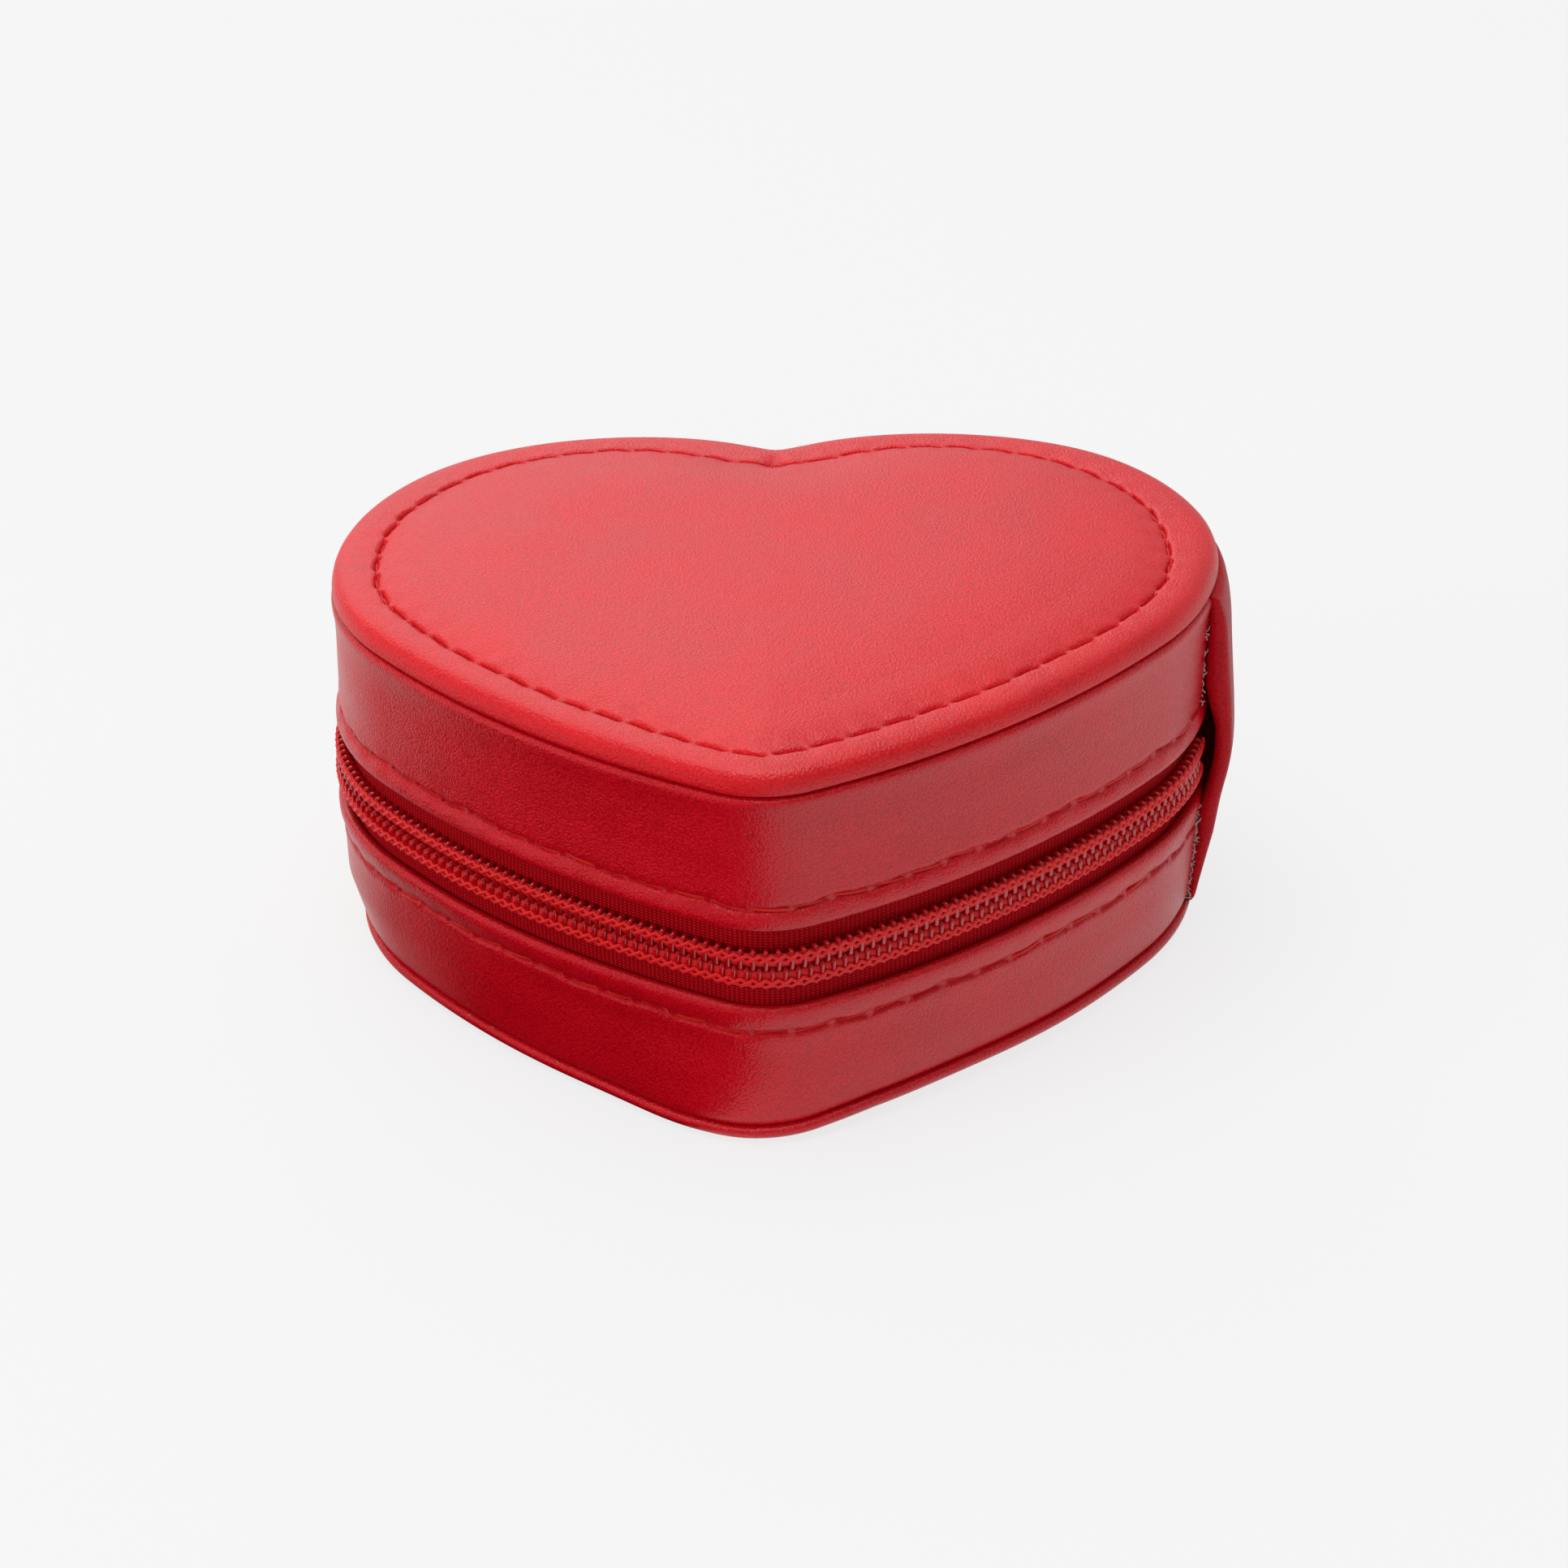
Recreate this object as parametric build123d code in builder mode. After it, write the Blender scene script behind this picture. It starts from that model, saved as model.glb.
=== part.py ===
"""Heart-shaped zip-round jewellery case in soft red leathercloth, built piece by piece.

The case stands on its sole at z = 0. X runs across the lobes, Y runs from the tip of the heart (-Y)
to the notch between the lobes (+Y), and Z is up. The origin is the middle of the sole.
Every wall follows one heart outline, the outer face of the side walls; `grow` is the distance
outside that face, so a negative value lies inside the wall. All sizes are in millimetres.
"""

import math
import os

from build123d import *

# Heart outline, measured on the outer face of the side walls
LOBE_SPREAD = 18.3      # half the distance between the two lobe centres
LOBE_RADIUS = 31.3
TIP_DROP = 39.9         # tip arc's centre below the lobe centres
TIP_RADIUS = 11.2
SIDE_RADIUS = 108.0     # the long, slightly bowed sides
NOTCH_RADIUS = 10.2

# Heights of the visible courses, from the table upwards
SOLE_HEIGHT = 2.6
BASE_BAND_HEIGHT = 14.8
ZIP_GAP = 9.6           # bare zip between the two hems
LID_BAND_HEIGHT = 16.4
RIM_HEIGHT = 3.0
CROWN_HEIGHT = 1.5      # padding of the top panel above the stitch channel

# Sheet materials
LEATHER = 1.0
BOARD = 1.8
LINING = 0.6
TAPE = 0.6
BOND = 0.05             # glue line between bonded layers

# Edges and stitching
SOLE_PROUD = 0.45       # the sole's bead stands outside the wall
SOLE_ROUND = 1.0
RIM_PROUD = 0.4         # the lid's rolled rim stands outside the wall
RIM_ROUND = 1.4
RIM_UNDER_ROUND = 0.7
HEM_ROUND = 0.45
BASE_HEM_STITCH = 3.4   # stitch line below the hem edge
LID_HEM_STITCH = 2.7    # stitch line above the hem edge
HEM_CHANNEL_WIDTH = 0.8
HEM_CHANNEL_DEPTH = 0.25
STITCH_INSET = 3.8      # top stitching, inside the wall's outer face
CHANNEL_WIDTH = 0.9
CHANNEL_DEPTH = 0.6
RIM_CORD = 1.7          # filler cord in the rolled rim
HEM_SETBACK = 0.4       # boards and linings stop short of the hem edges

# Zip: a size 3 coil
COIL_HALF_WIDTH = 2.15  # mid-line of the chain to the outer edge of one coil
ZIP_PARTING = 0.9       # space between the two coil cores, where the loops interlock
COIL_THICKNESS = 1.4
COIL_ROUND = 0.4
TAPE_SEAM = 8.0         # tape caught under the wall, past the hem

# Spine: the leather strip on the right lobe that hinges the lid
SPINE_CENTRE = 16.0     # direction of its middle from the lobe centre, degrees from +X
SPINE_HALF_ANGLE = 30.0
SPINE_FOOT = 1.6        # thickness where it is bonded to the base band
SPINE_HEAD = 2.2        # thickness where it is bonded to the lid band
SPINE_FOLD = 1.9        # thickness at the fold
SPINE_BULGE = 1.8       # the fold stands clear of the wall by this much
SPINE_BONDED_BASE = 9.0
SPINE_BONDED_LID = 8.0
SPINE_PARTING = 0.3
SPINE_END_GAP = 0.3
ZIP_TUCK = 4.0          # degrees of tape and coil tucked under the spine

# Zip slider and pull
SLIDER_LENGTH = 9.0
SLIDER_NOSE_WIDTH = 7.4
SLIDER_TAIL_WIDTH = 6.4
SLIDER_PLATE = 1.0
SLIDER_CLEARANCE = 0.3
SLIDER_FLANGE = 0.85    # depth of the side flanges
SLIDER_POST_LENGTH = 1.4
SLIDER_POST_WIDTH = 0.5
SLIDER_ROUND = 0.8
SLIDER_EDGE_ROUND = 0.25
SLIDER_SPINE_GAP = 2.7  # degrees between the slider's nose and the spine
BRIDGE_SPAN = 5.6
BRIDGE_ROD = 1.1        # diameter of the arched rod that carries the pull
BRIDGE_BEND = 0.9
EYE_INNER_RADIUS = 1.7
EYE_WIRE = 0.9
EYE_CLEARANCE = 0.1
EYE_SWING_ROOM = 0.4    # between the eye and the slider's face
PULL_LENGTH = 15.0
PULL_NECK = 2.6
PULL_WIDTH = 5.0
PULL_THICKNESS = 1.2
PULL_HOLE_RADIUS = 1.1

# Lid mirror
MIRROR_SHARE = 0.72     # mirror outline as a share of the heart
MIRROR_THICKNESS = 1.4
MIRROR_CLEARANCE = 0.25
FRAME_BORDER = 3.4      # frame outside the mirror
FRAME_LIP = 1.6         # frame over the mirror's edge
FRAME_THICKNESS = 2.4
FRAME_ROUND = 0.5

# Base tray: ring rolls and dividers
ROLL_COUNT = 3
ROLL_WIDTH = 9.4
ROLL_HEIGHT = 11.0
ROLL_GAP = 0.4
ROLL_WALL_GAP = 0.4
REAR_ROLL_GAP = 0.5     # behind the rearmost roll, at the notch
DIVIDER_THICKNESS = 1.8
DIVIDER_HEIGHT = 11.5
DIVIDER_ROUND = 0.6

# Heart construction: every arc is tangent to the next
DEPTH = LOBE_RADIUS + TIP_DROP + TIP_RADIUS
HALF_WIDTH = LOBE_SPREAD + LOBE_RADIUS
LOBE_Y = DEPTH / 2 - LOBE_RADIUS
TIP_Y = LOBE_Y - TIP_DROP
TIP_REACH = SIDE_RADIUS - TIP_RADIUS
LOBE_REACH = SIDE_RADIUS - LOBE_RADIUS
CENTRES = math.hypot(LOBE_SPREAD, TIP_DROP)
ALONG = (TIP_REACH**2 - LOBE_REACH**2 + CENTRES**2) / (2 * CENTRES)
ACROSS = math.sqrt(TIP_REACH**2 - ALONG**2)
SIDE_X = (LOBE_SPREAD * ALONG - TIP_DROP * ACROSS) / CENTRES
SIDE_Y = TIP_Y + (TIP_DROP * ALONG + LOBE_SPREAD * ACROSS) / CENTRES
NOTCH_Y = LOBE_Y + math.sqrt((LOBE_RADIUS + NOTCH_RADIUS) ** 2 - LOBE_SPREAD**2)
TIP_ANGLE = math.degrees(math.atan2(TIP_Y - SIDE_Y, -SIDE_X))
LOBE_START = math.degrees(math.atan2(LOBE_Y - SIDE_Y, LOBE_SPREAD - SIDE_X))
LOBE_END = math.degrees(math.atan2(NOTCH_Y - LOBE_Y, -LOBE_SPREAD))

# Levels
BASE_HEM_Z = SOLE_HEIGHT + BASE_BAND_HEIGHT
ZIP_Z = BASE_HEM_Z + ZIP_GAP / 2
LID_HEM_Z = BASE_HEM_Z + ZIP_GAP
SHOULDER_Z = LID_HEM_Z + LID_BAND_HEIGHT
RIM_Z = SHOULDER_Z + RIM_HEIGHT
BOARD_TOP_Z = LEATHER + BOARD
FLOOR_Z = BOARD_TOP_Z + LINING
LID_BOARD_Z = SHOULDER_Z - BOARD
CEILING_Z = LID_BOARD_Z - LINING

# Layers of the wall, as grow values
TAPE_FACE = -LEATHER - BOND
BOARD_FACE = TAPE_FACE - TAPE - BOND
LINING_FACE = BOARD_FACE - BOARD - BOND
INNER_FACE = LINING_FACE - LINING
COIL_FACE = TAPE_FACE + COIL_THICKNESS
PAD_FACE = -STITCH_INSET - CHANNEL_WIDTH / 2 - LEATHER
CORD_LINE = RIM_PROUD - LEATHER - RIM_CORD / 2

# Spine and slider directions on the right lobe, in degrees from +X
SPINE_START = SPINE_CENTRE - SPINE_HALF_ANGLE
SPINE_END = SPINE_CENTRE + SPINE_HALF_ANGLE
SLIDER_HALF_ANGLE = math.degrees(math.atan2(SLIDER_LENGTH / 2, LOBE_RADIUS))
SLIDER_ANGLE = SPINE_END + SLIDER_SPINE_GAP + SLIDER_HALF_ANGLE
COIL_END = SLIDER_ANGLE + SLIDER_HALF_ANGLE

# Slider levels, outwards from the wall's outer face
SLIDER_SAG = LOBE_RADIUS - math.sqrt(LOBE_RADIUS**2 - (SLIDER_LENGTH / 2) ** 2)
FRONT_PLATE = COIL_FACE + SLIDER_CLEARANCE
BACK_PLATE = TAPE_FACE - TAPE - SLIDER_CLEARANCE - SLIDER_SAG - SLIDER_PLATE
SLIDER_FACE = FRONT_PLATE + SLIDER_PLATE
EYE_RADIUS = EYE_INNER_RADIUS + EYE_WIRE / 2
ROD_LEVEL = SLIDER_FACE + EYE_RADIUS + EYE_WIRE / 2 + EYE_SWING_ROOM
EYE_DROP = EYE_INNER_RADIUS - BRIDGE_ROD / 2 - EYE_CLEARANCE


def heart(grow=0.0, share=1.0, mode=Mode.ADD):
    """Heart-shaped face: the outline shrunk to `share`, then `grow` outside it."""
    tip, side = TIP_RADIUS * share + grow, SIDE_RADIUS * share + grow
    lobe, notch = LOBE_RADIUS * share + grow, NOTCH_RADIUS * share - grow
    lobe_sweep = LOBE_END - LOBE_START
    side_sweep = LOBE_START - TIP_ANGLE
    with BuildLine() as outline:
        CenterArc((0, TIP_Y * share), tip, -180 - TIP_ANGLE, 180 + 2 * TIP_ANGLE)
        CenterArc((SIDE_X * share, SIDE_Y * share), side, TIP_ANGLE, side_sweep)
        CenterArc((LOBE_SPREAD * share, LOBE_Y * share), lobe, LOBE_START, lobe_sweep)
        CenterArc((0, NOTCH_Y * share), notch, LOBE_END - 180, 180 - 2 * LOBE_END)
        CenterArc((-LOBE_SPREAD * share, LOBE_Y * share), lobe, 180 - LOBE_END, lobe_sweep)
        CenterArc((-SIDE_X * share, SIDE_Y * share), side, 180 - LOBE_START, side_sweep)
    make_face(outline.edges(), mode=mode)


def plate(bottom, top, grow=0.0, share=1.0, mode=Mode.ADD):
    """Solid heart-shaped plate between two levels."""
    with BuildSketch(Plane.XY.offset(bottom)) as plan:
        heart(grow, share)
    extrude(plan.sketch, amount=top - bottom, mode=mode)


def ring(bottom, top, outer, inner, mode=Mode.ADD):
    """Heart-shaped wall between two levels and two grow values."""
    with BuildSketch(Plane.XY.offset(bottom)) as plan:
        heart(outer)
        heart(inner, mode=Mode.SUBTRACT)
    extrude(plan.sketch, amount=top - bottom, mode=mode)


def lobe_wedge(start, end, mode):
    """Full-height wedge of the right lobe between two directions, in degrees from +X."""
    reach = 2 * HALF_WIDTH
    corners = [(LOBE_SPREAD, LOBE_Y)]
    for angle in (start, (start + end) / 2, end):
        turn = math.radians(angle)
        corners.append((LOBE_SPREAD + reach * math.cos(turn), LOBE_Y + reach * math.sin(turn)))
    with BuildSketch() as plan:
        Polygon(*corners, align=None)
    extrude(plan.sketch, amount=RIM_Z, mode=mode)


def crown(level, grow, mode=Mode.ADD):
    """Padded crown that rises from a heart outline, highest in the middle of the panel."""
    sections = []
    for share, rise in ((1.0, 0.0), (0.95, 0.55), (0.82, 0.86), (0.5, 1.0)):
        with BuildSketch(Plane.XY.offset(level + CROWN_HEIGHT * rise)) as section:
            heart(grow * share, share)
        sections.append(section.sketch.faces()[0])
    loft(sections, mode=mode)


# Top panel of the lid: rolled rim, stitched channel and padded crown in one skin
CHANNEL_OUTSIDE = -STITCH_INSET + CHANNEL_WIDTH / 2
CHANNEL_INSIDE = -STITCH_INSET - CHANNEL_WIDTH / 2
CORD_TOP_Z = SHOULDER_Z + RIM_CORD + 2 * BOND
with BuildPart() as lid_top_cover:
    plate(SHOULDER_Z, RIM_Z, RIM_PROUD)
    fillet(lid_top_cover.edges().group_by(Axis.Z)[-1], RIM_ROUND)
    fillet(lid_top_cover.edges().group_by(Axis.Z)[0], RIM_UNDER_ROUND)
    crown(RIM_Z, CHANNEL_INSIDE)
    ring(RIM_Z - CHANNEL_DEPTH, RIM_Z, CHANNEL_OUTSIDE, CHANNEL_INSIDE, Mode.SUBTRACT)
    plate(SHOULDER_Z, RIM_Z - LEATHER, PAD_FACE, mode=Mode.SUBTRACT)
    crown(RIM_Z - LEATHER, PAD_FACE, Mode.SUBTRACT)
    cord_room = RIM_CORD / 2 + BOND
    ring(SHOULDER_Z, CORD_TOP_Z, CORD_LINE + cord_room, CORD_LINE - cord_room, Mode.SUBTRACT)

# Foam pad that fills the crown of the top panel
with BuildPart() as lid_foam_pad:
    plate(SHOULDER_Z, RIM_Z - LEATHER - BOND, PAD_FACE - BOND)
    crown(RIM_Z - LEATHER - BOND, PAD_FACE - BOND)

# Filler cord inside the rolled rim
with BuildPart() as lid_rim_cord:
    with BuildSketch(Plane.XY.offset(SHOULDER_Z + RIM_CORD / 2 + BOND)) as cord_plan:
        heart(CORD_LINE)
    cord_path = cord_plan.sketch.faces()[0].outer_wire()
    with BuildSketch(Plane(origin=cord_path @ 0, z_dir=cord_path % 0)) as cord_section:
        Circle(RIM_CORD / 2)
    sweep(cord_section.sketch, path=cord_path)

# Stiff board under the top panel
with BuildPart() as lid_top_board:
    plate(LID_BOARD_Z, SHOULDER_Z, TAPE_FACE)

# Leathercloth round the side of the lid, with a rolled hem at its lower edge
with BuildPart() as lid_side_band:
    ring(LID_HEM_Z, SHOULDER_Z, 0, -LEATHER)
    fillet(lid_side_band.edges().group_by(Axis.Z)[0], HEM_ROUND)
    lid_stitch_z = LID_HEM_Z + LID_HEM_STITCH - HEM_CHANNEL_WIDTH / 2
    ring(lid_stitch_z, lid_stitch_z + HEM_CHANNEL_WIDTH, HEM_ROUND, -HEM_CHANNEL_DEPTH, Mode.SUBTRACT)

# Stiff board inside the side of the lid
with BuildPart() as lid_wall_board:
    ring(LID_HEM_Z + HEM_SETBACK, LID_BOARD_Z, BOARD_FACE, BOARD_FACE - BOARD)

# Pile lining of the lid: ceiling and wall
with BuildPart() as lid_ceiling_lining:
    plate(CEILING_Z, LID_BOARD_Z, LINING_FACE)

with BuildPart() as lid_wall_lining:
    ring(LID_HEM_Z + HEM_SETBACK, CEILING_Z, LINING_FACE, INNER_FACE)

# Heart-shaped mirror on the ceiling, held at its edge by a padded frame
MIRROR_Z = CEILING_Z - MIRROR_THICKNESS
FRAME_Z = CEILING_Z - FRAME_THICKNESS
with BuildPart() as mirror:
    plate(MIRROR_Z, CEILING_Z, share=MIRROR_SHARE)

with BuildPart() as mirror_frame:
    plate(FRAME_Z, CEILING_Z, FRAME_BORDER, MIRROR_SHARE)
    fillet(mirror_frame.edges().group_by(Axis.Z)[0], FRAME_ROUND)
    plate(MIRROR_Z - BOND, CEILING_Z, MIRROR_CLEARANCE, MIRROR_SHARE, Mode.SUBTRACT)
    plate(FRAME_Z, CEILING_Z, -FRAME_LIP, MIRROR_SHARE, Mode.SUBTRACT)

# Sole: leathercloth bottom with a beaded edge, turned up round the base board
with BuildPart() as sole:
    plate(0, SOLE_HEIGHT, SOLE_PROUD)
    fillet(sole.edges().filter_by(Axis.Z, reverse=True), SOLE_ROUND)
    plate(LEATHER, SOLE_HEIGHT, TAPE_FACE, mode=Mode.SUBTRACT)

with BuildPart() as base_board:
    plate(LEATHER, BOARD_TOP_Z, TAPE_FACE - BOND)

# Leathercloth round the side of the base, with a rolled hem at its upper edge
with BuildPart() as base_side_band:
    ring(SOLE_HEIGHT, BASE_HEM_Z, 0, -LEATHER)
    fillet(base_side_band.edges().group_by(Axis.Z)[-1], HEM_ROUND)
    base_stitch_z = BASE_HEM_Z - BASE_HEM_STITCH - HEM_CHANNEL_WIDTH / 2
    ring(base_stitch_z, base_stitch_z + HEM_CHANNEL_WIDTH, HEM_ROUND, -HEM_CHANNEL_DEPTH, Mode.SUBTRACT)

# Stiff board inside the side of the base
with BuildPart() as base_wall_board:
    ring(BOARD_TOP_Z, BASE_HEM_Z - HEM_SETBACK, BOARD_FACE, BOARD_FACE - BOARD)

# Pile lining of the base: floor and wall
with BuildPart() as base_floor_lining:
    plate(BOARD_TOP_Z, FLOOR_Z, LINING_FACE)

with BuildPart() as base_wall_lining:
    ring(FLOOR_Z, BASE_HEM_Z - HEM_SETBACK, LINING_FACE, INNER_FACE)

# Ring rolls across both lobes, from the notch forwards
NOTCH_WALL_Y = NOTCH_Y - NOTCH_RADIUS + INNER_FACE
ROLL_PITCH = ROLL_WIDTH + ROLL_GAP
ROLL_STRAIGHT = ROLL_HEIGHT - ROLL_WIDTH / 2
ring_rolls = []
for row in range(ROLL_COUNT):
    roll_y = NOTCH_WALL_Y - REAR_ROLL_GAP - ROLL_WIDTH / 2 - row * ROLL_PITCH
    with BuildPart() as ring_roll:
        with BuildSketch(Plane.YZ) as roll_section:
            with Locations((roll_y, FLOOR_Z + ROLL_STRAIGHT / 2)):
                Rectangle(ROLL_WIDTH, ROLL_STRAIGHT)
            with Locations((roll_y, FLOOR_Z + ROLL_STRAIGHT)):
                Circle(ROLL_WIDTH / 2)
        extrude(roll_section.sketch, amount=HALF_WIDTH, both=True)
        plate(FLOOR_Z, FLOOR_Z + ROLL_HEIGHT, INNER_FACE - ROLL_WALL_GAP, mode=Mode.INTERSECT)
    ring_rolls.append(ring_roll)

# Dividers in front of the rolls: one across the case and one down the middle to the tip
CROSS_BACK_Y = NOTCH_WALL_Y - REAR_ROLL_GAP - ROLL_COUNT * ROLL_PITCH
CROSS_FRONT_Y = CROSS_BACK_Y - DIVIDER_THICKNESS
DIVIDER_TOP_Z = FLOOR_Z + DIVIDER_HEIGHT
with BuildPart() as cross_divider:
    with BuildSketch(Plane.XY.offset(FLOOR_Z)) as cross_plan:
        with Locations((0, CROSS_BACK_Y - DIVIDER_THICKNESS / 2)):
            Rectangle(2 * HALF_WIDTH, DIVIDER_THICKNESS)
    extrude(cross_plan.sketch, amount=DIVIDER_HEIGHT)
    fillet(cross_divider.edges().group_by(Axis.Z)[-1].filter_by(Axis.X), DIVIDER_ROUND)
    plate(FLOOR_Z, DIVIDER_TOP_Z, INNER_FACE - BOND, mode=Mode.INTERSECT)

with BuildPart() as centre_divider:
    with BuildSketch(Plane.XY.offset(FLOOR_Z)) as centre_plan:
        with Locations((0, CROSS_FRONT_Y - BOND)):
            Rectangle(DIVIDER_THICKNESS, DEPTH, align=(Align.CENTER, Align.MAX))
    extrude(centre_plan.sketch, amount=DIVIDER_HEIGHT)
    fillet(centre_divider.edges().group_by(Axis.Z)[-1].filter_by(Axis.Y), DIVIDER_ROUND)
    plate(FLOOR_Z, DIVIDER_TOP_Z, INNER_FACE - BOND, mode=Mode.INTERSECT)

# Zip tapes: each is caught under its hem and ends under the spine
LOWER_EDGE_Z = ZIP_Z - ZIP_PARTING / 2
UPPER_EDGE_Z = ZIP_Z + ZIP_PARTING / 2
with BuildPart() as zip_tape_lower:
    ring(BASE_HEM_Z - TAPE_SEAM, LOWER_EDGE_Z, TAPE_FACE, TAPE_FACE - TAPE)
    lobe_wedge(SPINE_START + ZIP_TUCK, SPINE_END - ZIP_TUCK, Mode.SUBTRACT)

with BuildPart() as zip_tape_upper:
    ring(UPPER_EDGE_Z, LID_HEM_Z + TAPE_SEAM, TAPE_FACE, TAPE_FACE - TAPE)
    lobe_wedge(SPINE_START + ZIP_TUCK, SPINE_END - ZIP_TUCK, Mode.SUBTRACT)

# Zip coils: from under the spine's front edge round to the tail of the closed slider
with BuildPart() as zip_coil_lower:
    ring(ZIP_Z - COIL_HALF_WIDTH, LOWER_EDGE_Z, COIL_FACE, TAPE_FACE)
    fillet(zip_coil_lower.edges().filter_by(Axis.Z, reverse=True), COIL_ROUND)
    lobe_wedge(SPINE_START + ZIP_TUCK, COIL_END, Mode.SUBTRACT)

with BuildPart() as zip_coil_upper:
    ring(UPPER_EDGE_Z, ZIP_Z + COIL_HALF_WIDTH, COIL_FACE, TAPE_FACE)
    fillet(zip_coil_upper.edges().filter_by(Axis.Z, reverse=True), COIL_ROUND)
    lobe_wedge(SPINE_START + ZIP_TUCK, COIL_END, Mode.SUBTRACT)

# Spine leaves: each is bonded to its side band, swells out over the zip and is parted at the fold
spine_plane = Plane(origin=(LOBE_SPREAD, LOBE_Y, 0), x_dir=(1, 0, 0), z_dir=(0, -1, 0))
spine_plane = spine_plane.rotated((0, 0, SPINE_START))


def spine_leaf(end_level, bonded_level, fold_level, thickness):
    """Leather leaf on the right lobe, from its bonded end to the fold."""
    wall = LOBE_RADIUS + BOND
    fold = LOBE_RADIUS + SPINE_BULGE
    lean = (fold_level - bonded_level) / 2
    with BuildSketch(spine_plane) as section:
        with BuildLine() as outline:
            foot = Line((wall, end_level), (wall, bonded_level))
            inside = Bezier(
                foot @ 1,
                (wall, bonded_level + lean),
                (fold, fold_level - lean),
                (fold, fold_level),
            )
            edge = Line(inside @ 1, (fold + SPINE_FOLD, fold_level))
            outer = wall + thickness
            outside = Bezier(
                edge @ 1,
                (fold + SPINE_FOLD, fold_level - lean),
                (outer, bonded_level + lean),
                (outer, bonded_level),
            )
            Polyline(outside @ 1, (outer, end_level), foot @ 0)
        make_face(outline.edges())
    lobe_axis = Axis((LOBE_SPREAD, LOBE_Y, 0), (0, 0, 1))
    revolve(section.sketch, axis=lobe_axis, revolution_arc=2 * SPINE_HALF_ANGLE)


with BuildPart() as spine_leaf_base:
    base_end = SOLE_HEIGHT + SPINE_END_GAP
    spine_leaf(base_end, base_end + SPINE_BONDED_BASE, ZIP_Z - SPINE_PARTING / 2, SPINE_FOOT)

with BuildPart() as spine_leaf_lid:
    lid_end = SHOULDER_Z - SPINE_END_GAP
    spine_leaf(lid_end, lid_end - SPINE_BONDED_LID, ZIP_Z + SPINE_PARTING / 2, SPINE_HEAD)

# Slider, closed against the spine's back edge: x along the zip, y up, z outwards
slider_turn = math.radians(SLIDER_ANGLE)
outwards = Vector(math.cos(slider_turn), math.sin(slider_turn), 0)
along_zip = Vector(-math.sin(slider_turn), math.cos(slider_turn), 0)
slider_seat = Vector(LOBE_SPREAD, LOBE_Y, ZIP_Z) + outwards * LOBE_RADIUS
slider_plane = Plane(origin=slider_seat, x_dir=along_zip, z_dir=outwards)


def slider_plate(level, thickness):
    """Plate of the slider, wider at the nose than at the tail."""
    end, nose, tail = SLIDER_LENGTH / 2, SLIDER_NOSE_WIDTH / 2, SLIDER_TAIL_WIDTH / 2
    with BuildSketch(slider_plane.offset(level)) as outline:
        Polygon((-end, -nose), (end, -tail), (end, tail), (-end, nose), align=None)
        fillet(outline.vertices(), SLIDER_ROUND)
    extrude(outline.sketch, amount=thickness)


with BuildPart() as zip_slider:
    slider_plate(FRONT_PLATE - SLIDER_FLANGE, SLIDER_PLATE + SLIDER_FLANGE)
    front_face = zip_slider.faces().filter_by(slider_plane).sort_by(Axis((0, 0, 0), outwards))[-1]
    fillet(front_face.edges(), SLIDER_EDGE_ROUND)
    with BuildSketch(slider_plane.offset(FRONT_PLATE)) as coil_way:
        Rectangle(SLIDER_LENGTH, 2 * (COIL_HALF_WIDTH + SLIDER_CLEARANCE))
    extrude(coil_way.sketch, amount=-SLIDER_FLANGE, mode=Mode.SUBTRACT)
    slider_plate(BACK_PLATE, SLIDER_PLATE)
    with BuildSketch(slider_plane.offset(BACK_PLATE)) as post:
        with Locations((-SLIDER_LENGTH / 2, 0)):
            Rectangle(SLIDER_POST_LENGTH, SLIDER_POST_WIDTH, align=(Align.MIN, Align.CENTER))
    extrude(post.sketch, amount=SLIDER_FACE - BACK_PLATE)
    bridge_plane = Plane(origin=slider_seat, x_dir=along_zip, z_dir=(0, 0, -1))
    with BuildLine(bridge_plane) as bridge_path:
        FilletPolyline(
            (-BRIDGE_SPAN / 2, FRONT_PLATE),
            (-BRIDGE_SPAN / 2, ROD_LEVEL),
            (BRIDGE_SPAN / 2, ROD_LEVEL),
            (BRIDGE_SPAN / 2, FRONT_PLATE),
            radius=BRIDGE_BEND,
        )
    with BuildSketch(slider_plane.offset(FRONT_PLATE)) as rod_section:
        with Locations((-BRIDGE_SPAN / 2, 0)):
            Circle(BRIDGE_ROD / 2)
    sweep(rod_section.sketch, path=bridge_path.wire())

# Pull: an eye round the bridge and a tab that hangs from it
eye_centre = slider_seat + outwards * ROD_LEVEL - Vector(0, 0, EYE_DROP)
NECK_Y = -EYE_DROP - EYE_RADIUS - PULL_NECK / 2 + EYE_WIRE / 2
TAB_END_Y = NECK_Y - PULL_LENGTH + PULL_NECK / 2 + PULL_WIDTH / 2
with BuildPart(Plane(origin=eye_centre, z_dir=along_zip)) as zip_pull:
    Torus(EYE_RADIUS, EYE_WIRE / 2)
    with BuildSketch(slider_plane.offset(ROD_LEVEL - PULL_THICKNESS / 2)) as tab:
        with Locations((0, NECK_Y)):
            Circle(PULL_NECK / 2)
        with Locations((0, TAB_END_Y)):
            Circle(PULL_WIDTH / 2)
        make_hull()
        with Locations((0, TAB_END_Y)):
            Circle(PULL_HOLE_RADIUS, mode=Mode.SUBTRACT)
    extrude(tab.sketch, amount=PULL_THICKNESS)

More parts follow.
